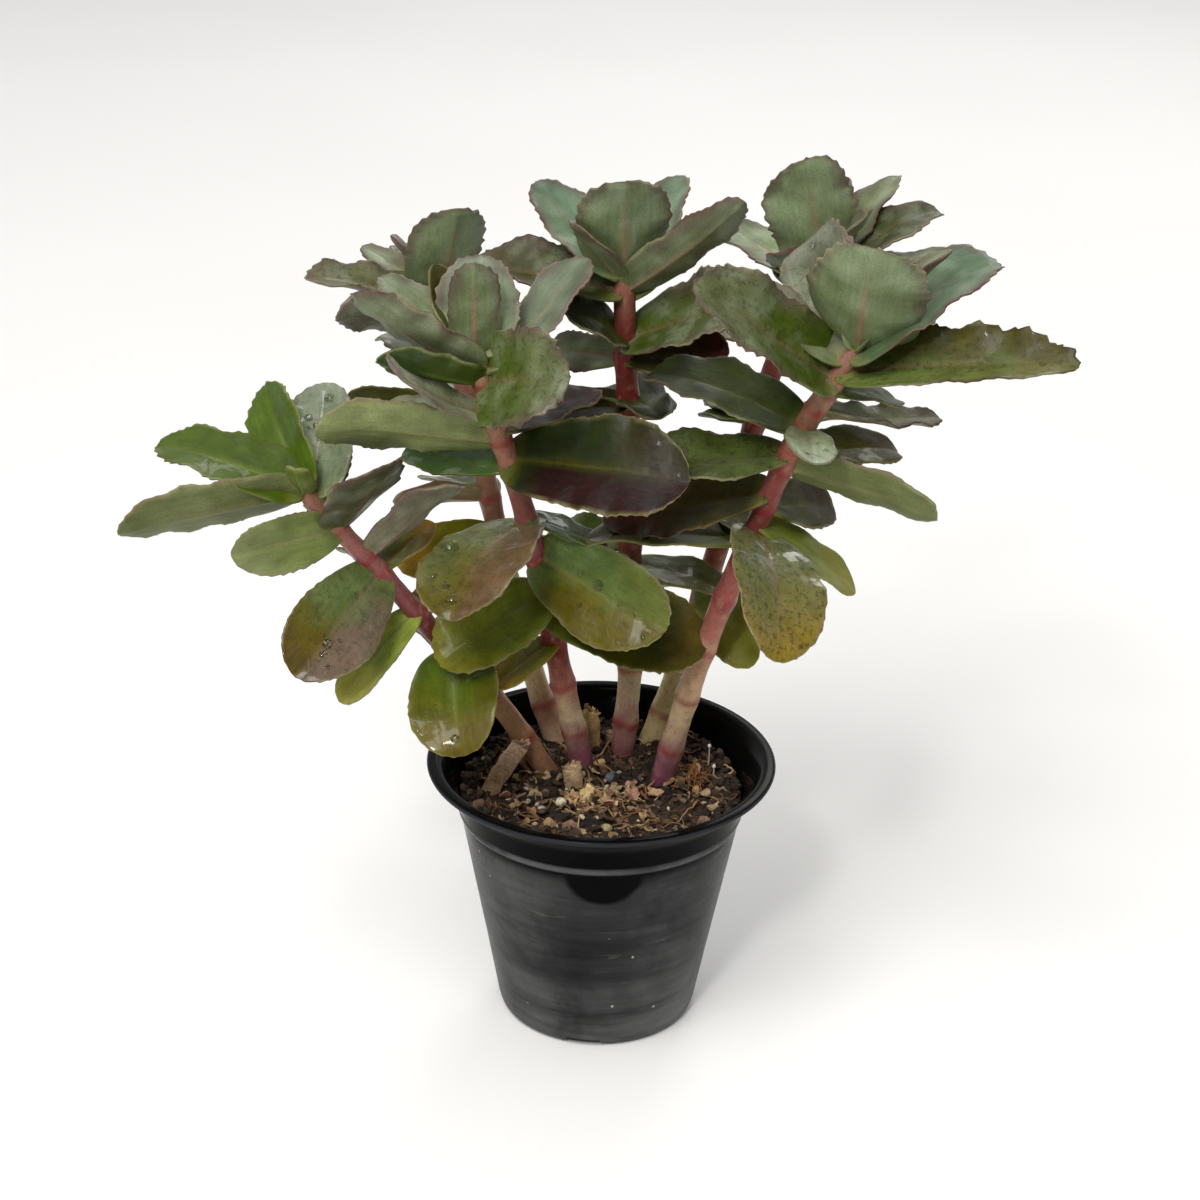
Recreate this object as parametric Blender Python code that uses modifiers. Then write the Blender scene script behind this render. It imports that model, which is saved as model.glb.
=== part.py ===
"""A potted stonecrop: a round nursery pot full of soil, with six leafy stems and three dead stubs.

Units are metres in the scene and millimetres in the constants below. +Z is up, the origin is the centre of
the pot's underside, +X is the right of the front view and the viewer stands on the -Y side.
"""

import math
import random

import bmesh
import bpy
from mathutils import Euler, Matrix, Vector, noise

MM = 0.001
GAP = 0.3
SHARP_ANGLE = math.radians(35)

# Pot: a 4.5 inch round nursery pot
LIP_RADIUS = 57.5
LIP_THICKNESS = 2.0
LIP_ROUNDING = 0.8
POT_HEIGHT = 91.5
BASE_RADIUS = 33.4
HEEL_WIDTH = 2.9
HEEL_HEIGHT = 4.0
RIDGE_RADIUS = 46.4
RIDGE_HEIGHT = 73.7
RIDGE_DEPTH = 0.7
FLARE_WIDTH = 8.8
FLARE_HEIGHT = 8.5
WALL = 1.1
FLOOR = 3.6
POT_STEPS = 32
NOTCH_COUNT = 4
NOTCH_WIDTH = 13.0
NOTCH_LENGTH = 20.0
NOTCH_HEIGHT = 2.6
NOTCH_INNER_RADIUS = 25.0
NOTCH_AZIMUTH = 262.5
DRAIN_RADIUS = 3.0
DRAIN_DEPTH = 10.0
DRAIN_SIDES = 12

# Soil
SOIL_LEVEL = 77.5
SOIL_RINGS = 4
SOIL_BUMP = 1.6
SOIL_SAG = 1.2
BROAD_LUMPS = 0.09
FINE_LUMPS = 0.21
CHIP_COUNT = 8
CHIP_MARGIN = 7.0
CHIP_TO_STEM = 11.0
CHIP_RAISED = 0.3
CHIP_TILT = 0.5
SOIL_SEED = 11

# Stems
SPLINE_STEPS = 12
STEM_SIDES = 8
STEM_START = 62.0
STEM_TURN = 74.0
NODE_SWELL = 0.5
NODE_LENGTH = 4.0
NODE_SPACING = 0.04
ROSETTE_START = 0.95
TIP_START = 0.97
TIP_RADIUS = 1.7
STUB_TAPER = 0.85

# Leaves
BLADE_THICKNESS = 1.8
RIM_SHARE = 0.5
BASE_SHARE = 0.26
BELLY_SHARE = 2.11
BASE_ROW = 0.13
TOOTH_START = 0.3
TOOTH_PEAK = 0.7
TOOTH_DEPTH = 0.05
TIP_ROW = 0.975
LONG_BLADE = 50
STRAIGHT = 0.001

LEAF_GREEN = (0.12, 0.17, 0.06)
DRY_TAN = (0.32, 0.21, 0.11)
LOAM_BROWN = (0.045, 0.026, 0.015)
POT_BLACK = (0.012, 0.013, 0.014)

# Each stem: its route from the soil up, in mm, its radius low and high, the bare nodes below its leaves as
# fractions of its length, and its leaves. Each leaf: the fraction of the stem where it grows, the way it
# points (0 is right, 90 is back, 180 is left), its rise, its length and width in mm, how far its tip bends
# down, its roll about its own length and how far its halves are folded up, the angles in degrees.
STEMS = {
    "leafy_stem_left": {
        "route": [
            (-18, 14, 78),
            (-34, 8, 106),
            (-52, 0, 132),
            (-72, -8, 161),
            (-83, -12, 175.5),
            (-94, -16, 190.5),
        ],
        "radii": (4.5, 3.5),
        "bare_nodes": (0.12, 0.28),
        "leaves": [
            (1.00, 200, -9, 58, 24, -6, 62, 25),
            (0.99, 175, 23, 49, 26, 12, -25, 30),
            (0.98, 125, 40, 42, 24, 15, -60, 30),
            (0.97, 85, 42, 41, 24, -10, 0, 25),
            (0.96, 70, 27, 24, 14, 0, 0, 30),
            (0.88, 305, 60, 38, 32, -10, -5, 25),
            (0.87, 228, 5, 38, 20, 15, -66, 30),
            (0.87, 110, 10, 28, 18, 10, 0, 25),
            (0.77, 355, 45, 41, 20, 0, -45, 35),
            (0.75, 120, -10, 22, 12, 0, 10, 30),
            (0.72, 50, 25, 26, 14, 0, 0, 25),
            (0.72, 250, -12, 49, 30, 25, -45, 20),
            (0.58, 230, -25, 39, 17, 25, -15, 20),
            (0.57, 72, 5, 27, 18, 20, 0, 20),
            (0.43, 273, -3, 44, 33, 42, 10, 20),
            (0.42, 110, 5, 30, 18, 20, 0, 20),
        ],
    },
    "leafy_stem_back_left": {
        "route": [
            (-15, 33, 78),
            (-24, 37, 105),
            (-34, 43, 143),
            (-45, 50, 190),
            (-54, 56, 226),
            (-56, 57, 232),
        ],
        "radii": (4.2, 3.4),
        "bare_nodes": (0.1, 0.22, 0.34),
        "leaves": [
            (1.00, 302, 60, 33, 30, -12, 0, 30),
            (0.99, 123, 15, 32, 16, -10, -5, 30),
            (0.98, 152, 26, 34, 13, 0, -5, 30),
            (0.97, 206, 15, 50, 21, 0, -20, 50),
            (0.96, 60, 12, 36, 22, 0, 0, 30),
            (0.95, 225, 8, 44, 20, -10, 55, 30),
            (0.94, 100, 10, 42, 25, 5, 0, 25),
            (0.84, 130, 5, 42, 24, 10, 0, 25),
            (0.84, 40, 5, 34, 22, 10, 0, 25),
            (0.71, 193, 18, 46, 26, 4, -10, 25),
            (0.71, 90, 5, 44, 26, 12, 0, 25),
            (0.56, 202, 10, 35, 13, 3, 55, 30),
            (0.56, 125, 0, 38, 24, 15, 0, 20),
            (0.47, 220, 4, 40, 22, 20, -48, 20),
            (0.45, 75, 0, 34, 22, 20, 0, 20),
        ],
    },
    "leafy_stem_front_left": {
        "route": [
            (-6, 17, 78),
            (-15, 10, 122),
            (-22, 3, 161),
            (-28, -3, 187),
            (-35, -9, 212),
            (-41, -13, 235),
        ],
        "radii": (4.4, 4.0),
        "bare_nodes": (0.1, 0.22),
        "leaves": [
            (1.00, 270, 85, 29, 19, -5, 5, 45),
            (0.99, 90, 42, 33, 27, -15, 5, 30),
            (0.98, 130, 40, 34, 14, -20, 0, 30),
            (0.97, 150, 28, 42, 20, 0, -15, 30),
            (0.96, 215, 30, 51, 20, -20, 40, 40),
            (0.96, 36, 20, 50, 24, -30, 0, 30),
            (0.95, 310, 30, 39, 33, 12, 70, 25),
            (0.94, 220, 18, 40, 18, -22, 35, 30),
            (0.86, 210, 20, 50, 15, -40, -30, 40),
            (0.84, 155, 0, 38, 16, -5, -12, 30),
            (0.83, 40, 6, 40, 22, -10, 10, 25),
            (0.81, 192, 7, 58, 24, 0, 62, 25),
            (0.76, 327, 11, 62, 36, 7, 48, 25),
            (0.74, 150, -8, 40, 20, -8, -15, 25),
            (0.62, 2, -16, 30, 22, 15, 0, 20),
            (0.61, 243, 5, 57, 37, 42, 12, 20),
            (0.53, 312, -7, 53, 34, 25, 68, 20),
            (0.44, 224, -7, 43, 31, 20, -30, 20),
            (0.40, 336, 4, 54, 33, 20, 45, 20),
            (0.32, 221, -10, 27, 19, 20, -5, 20),
        ],
    },
    "leafy_stem_centre": {
        "route": [
            (7, 26, 78),
            (9, 26, 111),
            (8, 26, 151),
            (7, 26, 193),
            (5, 25, 224),
            (4, 25, 249),
        ],
        "radii": (4.2, 3.8),
        "bare_nodes": (0.08, 0.2, 0.33),
        "leaves": [
            (1.00, 268, 68, 36, 32, -14, 8, 35),
            (0.99, 138, 27, 45, 24, -15, -5, 30),
            (0.98, 60, 30, 38, 16, -15, -5, 30),
            (0.97, 325, 35, 53, 18, -20, -45, 35),
            (0.96, 170, 13, 51, 27, 5, -25, 50),
            (0.95, 90, 12, 46, 28, 5, 0, 30),
            (0.87, 335, 28, 49, 33, -5, 33, 30),
            (0.87, 226, 42, 29, 23, 25, -35, 25),
            (0.84, 335, 12, 36, 20, 0, 35, 25),
            (0.84, 140, -12, 33, 17, 0, -40, 25),
            (0.84, 60, 5, 42, 26, 12, 0, 25),
            (0.75, 140, 0, 33, 22, 15, 0, 25),
            (0.75, 200, 0, 34, 20, 15, -20, 25),
            (0.75, 292, 15, 27, 18, 12, 0, 25),
            (0.76, 60, -15, 27, 18, 0, 40, 25),
            (0.60, 100, 0, 42, 26, 15, 0, 20),
            (0.60, 10, 0, 33, 24, 15, 0, 20),
            (0.46, 145, -7, 40, 22, 11, -20, 25),
            (0.42, 330, 0, 34, 24, 15, 0, 20),
        ],
    },
    "leafy_stem_back_right": {
        "route": [
            (16, 34, 78),
            (23, 35, 99),
            (35, 40, 140),
            (48, 47, 191),
            (58, 52, 222),
            (69, 55, 244),
        ],
        "radii": (4.3, 3.6),
        "bare_nodes": (0.08, 0.18, 0.27),
        "leaves": [
            (1.00, 240, 64, 41, 32, -15, 40, 30),
            (0.99, 65, 50, 32, 14, -10, 0, 30),
            (0.98, 45, 31, 46, 18, -15, -5, 30),
            (0.97, 13, 31, 47, 22, 12, 20, 30),
            (0.96, 214, 40, 21, 18, -6, 35, 35),
            (0.96, 130, 15, 46, 26, 5, 0, 30),
            (0.95, 349, 23, 54, 24, 5, 0, 25),
            (0.94, 85, 10, 46, 28, 5, 0, 30),
            (0.84, 170, 5, 32, 20, 12, 0, 25),
            (0.84, 50, 5, 42, 26, 12, 0, 25),
            (0.68, 137, -10, 24, 14, 5, 0, 25),
            (0.68, 100, 0, 42, 26, 15, 0, 25),
            (0.68, 15, 0, 42, 24, 15, 0, 25),
            (0.50, 60, 0, 36, 24, 20, 0, 20),
            (0.36, 283, -8, 40, 20, 30, 30, 20),
            (0.35, 132, -10, 26, 14, 10, 0, 20),
            (0.34, 36, -25, 28, 22, 10, 40, 20),
        ],
    },
    "leafy_stem_front_right": {
        "route": [
            (20, 8, 78),
            (30, 2, 122),
            (42, -6, 164),
            (50, -12, 189),
            (56, -16, 207),
            (65, -21, 227),
            (74, -25, 244),
        ],
        "radii": (4.8, 3.7),
        "bare_nodes": (0.08, 0.2, 0.31, 0.43),
        "leaves": [
            (1.00, 265, 47, 42, 40, -25, -15, 35),
            (0.99, 100, 70, 22, 12, -10, 0, 45),
            (0.98, 115, 38, 49, 32, 5, -55, 30),
            (0.97, 5, 44, 53, 38, 10, 10, 25),
            (0.96, 147, 24, 39, 17, -5, -14, 30),
            (0.94, 332, 15, 74, 25, 13, 37, 50),
            (0.93, 75, 12, 48, 30, 5, 0, 30),
            (0.92, 198, 36, 57, 31, -5, -43, 45),
            (0.90, 30, -5, 29, 19, 20, 20, 25),
            (0.86, 33, -24, 50, 17, -25, 5, 35),
            (0.81, 164, 26, 52, 34, 19, -14, 25),
            (0.81, 275, 5, 27, 18, 13, -10, 20),
            (0.77, 30, -19, 39, 21, -18, 28, 25),
            (0.75, 175, -7, 45, 24, -20, -20, 25),
            (0.73, 348, -9, 50, 21, 7, -62, 25),
            (0.67, 158, -20, 58, 31, -6, -25, 25),
            (0.64, 45, -15, 34, 20, 0, 40, 25),
            (0.60, 7, -29, 42, 19, 10, 22, 20),
            (0.58, 286, 4, 58, 35, 52, -22, 20),
            (0.56, 175, 2, 53, 26, 4, -8, 25),
            (0.57, 100, 0, 38, 24, 15, 0, 25),
        ],
    },
}

# Dead stubs left by old stems, as their route from the soil up and their radius, in mm
STUBS = {
    "dead_stub_left": ([(-37.5, -3.5, 68), (-37, -3, 78), (-31, 0, 88), (-27, 2, 94)], 3.2),
    "dead_stub_front": ([(-9, 2, 66), (-9, 2, 78), (-9.5, 2.5, 86)], 3.2),
    "dead_stub_middle": ([(-2, 27, 66), (-3, 28, 78), (-4, 31, 92)], 3.0),
}


def clear_scene():
    for existing in list(bpy.data.objects):
        bpy.data.objects.remove(existing, do_unlink=True)


def new_collection(name):
    collection = bpy.data.collections.new(name)
    bpy.context.scene.collection.children.link(collection)
    return collection


def new_material(name, colour, roughness):
    material = bpy.data.materials.new(name)
    material.use_nodes = True
    shader = material.node_tree.nodes["Principled BSDF"]
    shader.inputs["Base Color"].default_value = (*colour, 1.0)
    shader.inputs["Roughness"].default_value = roughness
    return material


def object_from_bmesh(name, bm, collection, material=None):
    mesh = bpy.data.meshes.new(name)
    bm.to_mesh(mesh)
    bm.free()
    made = bpy.data.objects.new(name, mesh)
    collection.objects.link(made)
    if material:
        mesh.materials.append(material)
    return made


def evaluated_mesh(source):
    """The mesh of an object with its modifiers applied."""
    graph = bpy.context.evaluated_depsgraph_get()
    return bpy.data.meshes.new_from_object(source.evaluated_get(graph), depsgraph=graph)


def apply_modifiers(target):
    mesh = evaluated_mesh(target)
    target.modifiers.clear()
    target.data = mesh


def remove_collection(collection):
    for member in list(collection.objects):
        bpy.data.objects.remove(member, do_unlink=True)
    bpy.data.collections.remove(collection)


def join_collection(target, collection):
    """Unites the pieces of a collection with the target, as one closed body."""
    union = target.modifiers.new("join", "BOOLEAN")
    union.operation = "UNION"
    union.operand_type = "COLLECTION"
    union.collection = collection
    union.solver = "MANIFOLD"
    apply_modifiers(target)
    remove_collection(collection)


def spline_points(points, count):
    """Evenly spaced points on a smooth curve through the given ones."""
    knots = [Vector(p) for p in points]
    ends = [2 * knots[0] - knots[1]] + knots + [2 * knots[-1] - knots[-2]]
    fine = []
    for before, start, end, after in zip(ends, ends[1:], ends[2:], ends[3:]):
        bending = 2 * before - 5 * start + 4 * end - after
        twisting = 3 * start - before - 3 * end + after
        for step in range(SPLINE_STEPS):
            t = step / SPLINE_STEPS
            fine.append(start + 0.5 * ((end - before) * t + bending * t**2 + twisting * t**3))
    fine.append(knots[-1])
    lengths = [0.0]
    for a, b in zip(fine, fine[1:]):
        lengths.append(lengths[-1] + (b - a).length)
    spaced = []
    index = 0
    for number in range(count):
        wanted = lengths[-1] * number / (count - 1)
        while index < len(lengths) - 2 and lengths[index + 1] < wanted:
            index += 1
        share = (wanted - lengths[index]) / (lengths[index + 1] - lengths[index])
        spaced.append(fine[index].lerp(fine[index + 1], share))
    return spaced, lengths[-1]


class Route:
    """A stem's centre line above the soil, read by the fraction of its length."""

    FINENESS = 200

    def __init__(self, points):
        self.points, self.length = spline_points(points, self.FINENESS + 1)

    def at(self, fraction):
        place = max(0.0, min(1.0, fraction)) * self.FINENESS
        index = min(int(place), self.FINENESS - 1)
        return self.points[index].lerp(self.points[index + 1], place - index)

    def buried(self, depth=0.0):
        """Two points in the soil: the centre line carried straight on, then down to the stem's foot."""
        start = self.points[0]
        slope = self.at(0.04) - start
        turn = start + slope * ((STEM_TURN - start.z) / slope.z)
        return [Vector((turn.x, turn.y, STEM_START - depth)), turn]


def tube(name, points, radii, collection, material=None):
    """A round bar along the points, with its own radius at each of them, as a mesh with welded caps."""
    curve = bpy.data.curves.new(name, "CURVE")
    curve.dimensions = "3D"
    curve.bevel_depth = MM
    curve.bevel_resolution = STEM_SIDES // 4
    curve.use_fill_caps = True
    curve.twist_mode = "MINIMUM"
    spline = curve.splines.new("POLY")
    spline.points.add(len(points) - 1)
    for knot, point, radius in zip(spline.points, points, radii):
        knot.co = (*(point * MM), 1.0)
        knot.radius = radius
    guide = bpy.data.objects.new(name + "_guide", curve)
    collection.objects.link(guide)
    bpy.context.view_layer.update()
    mesh = evaluated_mesh(guide)
    bpy.data.objects.remove(guide, do_unlink=True)
    bm = bmesh.new()
    bm.from_mesh(mesh)
    bpy.data.meshes.remove(mesh)
    bmesh.ops.remove_doubles(bm, verts=bm.verts, dist=0.01 * MM)
    bmesh.ops.recalc_face_normals(bm, faces=bm.faces)
    return object_from_bmesh(name, bm, collection, material)


def stem_nodes(stem):
    """The fractions of a stem's length where it swells: its bare nodes and those that bear leaves."""
    nodes = list(stem["bare_nodes"])
    for place in sorted(leaf[0] for leaf in stem["leaves"]):
        if place < ROSETTE_START and place - nodes[-1] > NODE_SPACING:
            nodes.append(place)
    return nodes


def stem_radius(stem, route, fraction):
    low, high = stem["radii"]
    nearest = min(abs(fraction - node) for node in stem_nodes(stem))
    swell = math.exp(-((nearest * route.length / NODE_LENGTH) ** 2))
    return low + (high - low) * fraction + NODE_SWELL * swell


def stem_bar(name, stem, route, collection, material):
    """The bare stem: a ring of points at each node and halfway between nodes, closing in at the tip."""
    nodes = [0.0] + stem_nodes(stem) + [TIP_START]
    places = sorted(nodes + [(a + b) / 2 for a, b in zip(nodes, nodes[1:])])
    points = route.buried() + [route.at(place) for place in places] + [route.at(1.0)]
    radii = [stem["radii"][0]] * 2 + [stem_radius(stem, route, place) for place in places] + [TIP_RADIUS]
    return tube(name, points, radii, collection, material)


def blade_share(along):
    """The half width of a blade, as a share of its widest: narrow at the stem, widest beyond the middle."""
    return BASE_SHARE * (1 - along) ** 1.5 + BELLY_SHARE * along**0.95 * (1 - along) ** 0.5


def blade_rows(teeth):
    """(distance along the blade, share of its outline) of each row of points: a smooth base, then teeth."""
    rows = [(0.0, 1.0), (BASE_ROW, 1.0), (TOOTH_START, 1.0 - TOOTH_DEPTH)]
    step = (TIP_ROW - TOOTH_START) / teeth
    for tooth in range(teeth):
        start = TOOTH_START + tooth * step
        rows.append((start + TOOTH_PEAK * step, 1.0 + TOOTH_DEPTH))
        rows.append((start + step, 1.0 - TOOTH_DEPTH))
    return rows


def blade(name, leaf, route, collection):
    """One toothed leaf: a grid bent along its length, folded along its midrib, then given its thickness."""
    place, azimuth, rise, length, width, curl, roll, cup = leaf
    rows = blade_rows(3 if length >= LONG_BLADE else 2)
    pose = Euler((0, -math.radians(rise), math.radians(azimuth))).to_matrix()
    forward = pose @ Vector((1, 0, 0))
    upward = pose @ Vector((0, 0, 1))
    upward.rotate(Matrix.Rotation(math.radians(roll), 3, forward))
    bend = math.radians(curl) or STRAIGHT
    fold = math.radians(cup) / 2

    bm = bmesh.new()
    bmesh.ops.create_grid(bm, x_segments=len(rows) - 1, y_segments=2, size=1.0)
    weights = bm.verts.layers.deform.verify()
    midrib = {}
    for vertex in bm.verts:
        row = round((vertex.co.x + 1) / 2 * (len(rows) - 1))
        side = round(vertex.co.y)
        along, outline = rows[row]
        if side == 0:
            midrib[row] = vertex
            along = 1.0 if row == len(rows) - 1 else along
        half = 0.5 * width * blade_share(along) * outline if side else 0.0
        turn = bend * along
        ahead = forward * math.cos(turn) - upward * math.sin(turn)
        above = upward * math.cos(turn) + forward * math.sin(turn)
        spine = (forward * math.sin(turn) - upward * (1 - math.cos(turn))) * (length / bend)
        across = side * half * math.cos(fold)
        lifted = half * math.sin(fold)
        vertex.co = (route.at(place) + spine + ahead.cross(above) * -across + above * lifted) * MM
        vertex[weights][0] = 1.0 if side == 0 else RIM_SHARE
    merged = {midrib[row]: midrib[row - 1] for row in range(4, len(rows) - 1, 2)}
    bmesh.ops.weld_verts(bm, targetmap=merged)
    bmesh.ops.triangulate(bm, faces=bm.faces)
    made = object_from_bmesh(name, bm, collection)
    made.vertex_groups.new(name="thickness")
    shell = made.modifiers.new("thickness", "SOLIDIFY")
    shell.thickness = BLADE_THICKNESS * MM
    shell.offset = 0.0
    shell.vertex_group = "thickness"
    apply_modifiers(made)
    return made


def leafy_stem(name, stem, collection):
    route = Route(stem["route"])
    green = new_material(name, LEAF_GREEN, 0.45)
    made = stem_bar(name, stem, route, collection, green)
    blades = new_collection(name + "_blades")
    for number, leaf in enumerate(stem["leaves"]):
        blade(f"{name}_blade_{number}", leaf, route, blades)
    join_collection(made, blades)


def turned(name, profile, steps, collection, material=None):
    """A closed solid turned about Z from (radius, height) points, listed inner side first and then down."""
    bm = bmesh.new()
    verts = [bm.verts.new((radius * MM, 0, height * MM)) for radius, height in profile]
    for a, b in zip(verts, verts[1:]):
        bm.edges.new((a, b))
    made = object_from_bmesh(name, bm, collection, material)
    screw = made.modifiers.new("turn", "SCREW")
    screw.steps = steps
    screw.render_steps = steps
    screw.use_merge_vertices = True
    screw.merge_threshold = 0.00001
    apply_modifiers(made)
    return made


def outer_wall():
    """The outer wall as (radius, height) points: the lip, the flare, the ridge, the side and the heel."""
    return [
        (LIP_RADIUS - 2 * LIP_THICKNESS, POT_HEIGHT),
        (LIP_RADIUS - LIP_ROUNDING, POT_HEIGHT),
        (LIP_RADIUS, POT_HEIGHT - LIP_ROUNDING),
        (LIP_RADIUS - LIP_ROUNDING / 2, POT_HEIGHT - LIP_THICKNESS),
        (LIP_RADIUS - 0.4 * FLARE_WIDTH, POT_HEIGHT - 0.8 * LIP_THICKNESS),
        (LIP_RADIUS - 0.7 * FLARE_WIDTH, POT_HEIGHT - 0.5 * FLARE_HEIGHT),
        (LIP_RADIUS - FLARE_WIDTH, POT_HEIGHT - FLARE_HEIGHT),
        (RIDGE_RADIUS + RIDGE_DEPTH, RIDGE_HEIGHT + 3 * RIDGE_DEPTH),
        (RIDGE_RADIUS + RIDGE_DEPTH, RIDGE_HEIGHT + RIDGE_DEPTH),
        (RIDGE_RADIUS, RIDGE_HEIGHT - RIDGE_DEPTH),
        (BASE_RADIUS, HEEL_HEIGHT),
        (BASE_RADIUS - 0.3 * HEEL_WIDTH, 0.3 * HEEL_HEIGHT),
        (BASE_RADIUS - HEEL_WIDTH, 0.0),
    ]


def inner_wall(clearance=0.0):
    """The pot's inner wall from the floor's edge up to the lip, drawn in by a clearance."""
    inset = WALL + clearance
    return [
        (BASE_RADIUS - 0.4 * HEEL_WIDTH - inset, FLOOR + clearance),
        (BASE_RADIUS - inset, FLOOR + 0.5 * HEEL_HEIGHT + clearance),
        (RIDGE_RADIUS - inset, RIDGE_HEIGHT - RIDGE_DEPTH),
        (RIDGE_RADIUS + RIDGE_DEPTH - inset, RIDGE_HEIGHT + 2 * RIDGE_DEPTH),
        (LIP_RADIUS - FLARE_WIDTH - inset, POT_HEIGHT - FLARE_HEIGHT),
        (LIP_RADIUS - 0.6 * FLARE_WIDTH - inset, POT_HEIGHT - 0.3 * FLARE_HEIGHT),
    ]


def cut(target, cutter, solver="EXACT"):
    difference = target.modifiers.new("cut " + cutter.name, "BOOLEAN")
    difference.operation = "DIFFERENCE"
    difference.object = cutter
    difference.solver = solver
    cutter.hide_render = True
    cutter.display_type = "WIRE"


def block(name, sides, collection):
    """A box with the given sides, in mm, centred on its origin."""
    bm = bmesh.new()
    bmesh.ops.create_cube(bm, size=1.0)
    bmesh.ops.scale(bm, verts=bm.verts, vec=[side * MM for side in sides])
    return object_from_bmesh(name, bm, collection)


def round_bar(name, radius, depth, sides, collection):
    bm = bmesh.new()
    bmesh.ops.create_cone(
        bm,
        cap_ends=True,
        segments=sides,
        radius1=radius * MM,
        radius2=radius * MM,
        depth=depth * MM,
    )
    return object_from_bmesh(name, bm, collection)


def place_on_circle(target, radius, angle):
    target.rotation_euler.z = angle
    target.location = (radius * MM * math.cos(angle), radius * MM * math.sin(angle), 0)


def make_pot(collection, cutters):
    """The pot, open at the top, with notches across its heel that lead out of its drain holes."""
    profile = [(0, FLOOR)] + inner_wall() + outer_wall() + [(0, 0)]
    plastic = new_material("pot_plastic", POT_BLACK, 0.35)
    pot = turned("pot", profile, POT_STEPS, collection, plastic)
    for number in range(NOTCH_COUNT):
        angle = math.radians(NOTCH_AZIMUTH) + math.tau * number / NOTCH_COUNT
        notch_sides = (NOTCH_LENGTH, NOTCH_WIDTH, 2 * NOTCH_HEIGHT)
        notch = block(f"notch_cutter_{number}", notch_sides, cutters)
        place_on_circle(notch, NOTCH_INNER_RADIUS + NOTCH_LENGTH / 2, angle)
        drain = round_bar(f"drain_cutter_{number}", DRAIN_RADIUS, DRAIN_DEPTH, DRAIN_SIDES, cutters)
        place_on_circle(drain, NOTCH_INNER_RADIUS + DRAIN_RADIUS, angle)
        cut(pot, notch)
        cut(pot, drain)


def soil_height(x, y):
    """The soil's lumpy surface, which sinks a little towards the wall."""
    radius = math.hypot(x, y)
    place = Vector((x, y, 0.0))
    lumps = noise.noise(place * BROAD_LUMPS) + 0.6 * noise.noise(place * FINE_LUMPS)
    return SOIL_LEVEL + SOIL_BUMP * lumps - SOIL_SAG * (radius / RIDGE_RADIUS) ** 4


def clear_of_stems(x, y):
    feet = [stem["route"][0] for stem in STEMS.values()]
    feet += [points[1] for points, _ in STUBS.values()]
    return min(math.hypot(x - foot[0], y - foot[1]) for foot in feet) > CHIP_TO_STEM


def soil_chip(name, rng, collection):
    """A flake of bark or a lump of perlite, half sunk in the surface, clear of the wall and the stems."""
    x = y = 0.0
    while not clear_of_stems(x, y):
        angle = rng.uniform(0, math.tau)
        reach = (RIDGE_RADIUS - CHIP_MARGIN) * math.sqrt(rng.uniform(0, 1))
        x = reach * math.cos(angle)
        y = reach * math.sin(angle)
    sides = (rng.uniform(4, 8), rng.uniform(3, 5), rng.uniform(2.2, 3.4))
    chip = block(name, sides, collection)
    chip.rotation_euler.x = rng.uniform(-CHIP_TILT, CHIP_TILT)
    chip.rotation_euler.y = rng.uniform(-CHIP_TILT, CHIP_TILT)
    chip.rotation_euler.z = rng.uniform(0, math.tau)
    chip.location = (x * MM, y * MM, (soil_height(x, y) + CHIP_RAISED) * MM)


def make_soil(collection, cutters):
    """The soil that fills the pot: a lumpy crown with chips on it, and a hole for each stem and stub."""
    foot, heel, shoulder = inner_wall(GAP)[:3]
    rings = [(shoulder[0] * ring / SOIL_RINGS, SOIL_LEVEL) for ring in range(SOIL_RINGS + 1)]
    profile = rings + [shoulder, heel, foot, (0, FLOOR + GAP)]
    loam = new_material("soil", LOAM_BROWN, 0.95)
    soil = turned("soil", profile, POT_STEPS, collection, loam)
    for vertex in soil.data.vertices:
        if abs(vertex.co.z - SOIL_LEVEL * MM) < 0.1 * MM:
            vertex.co.z = soil_height(vertex.co.x / MM, vertex.co.y / MM) * MM
    rng = random.Random(SOIL_SEED)
    chips = new_collection("soil_chips")
    for number in range(CHIP_COUNT):
        soil_chip(f"chip_{number}", rng, chips)
    join_collection(soil, chips)
    for name, stem in STEMS.items():
        route = Route(stem["route"])
        points = route.buried(GAP) + [route.at(place) for place in (0.0, 0.1, 0.2)]
        widest = stem["radii"][0] + NODE_SWELL + GAP
        hole = tube(name + "_hole", points, [widest] * len(points), cutters)
        cut(soil, hole, "MANIFOLD")
    for name, (points, radius) in STUBS.items():
        deeper = [Vector(p) for p in points]
        deeper[0] = deeper[0] + (deeper[0] - deeper[1]).normalized() * GAP
        hole = tube(name + "_hole", deeper, [radius + GAP] * len(points), cutters)
        cut(soil, hole, "MANIFOLD")


def make_stubs(collection):
    for name, (points, radius) in STUBS.items():
        dry = new_material(name, DRY_TAN, 0.8)
        radii = [radius] * (len(points) - 1) + [radius * STUB_TAPER]
        tube(name, [Vector(p) for p in points], radii, collection, dry)


def main():
    clear_scene()
    parts = new_collection("potted_stonecrop")
    cutters = new_collection("cutters")
    make_pot(parts, cutters)
    make_soil(parts, cutters)
    make_stubs(parts)
    for name, stem in STEMS.items():
        leafy_stem(name, stem, parts)
    for part in parts.objects:
        part.data.shade_smooth()
        part.data.set_sharp_from_angle(angle=SHARP_ANGLE)


main()
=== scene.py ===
"""The looks of the potted stonecrop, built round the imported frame.

Lengths in the tables are millimetres, the scene is in metres. +Z is up and the viewer stands on the -Y side.
"""

import math
import random

import bmesh
import bpy
import numpy as np
from mathutils import Euler, Matrix, Vector, noise


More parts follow.
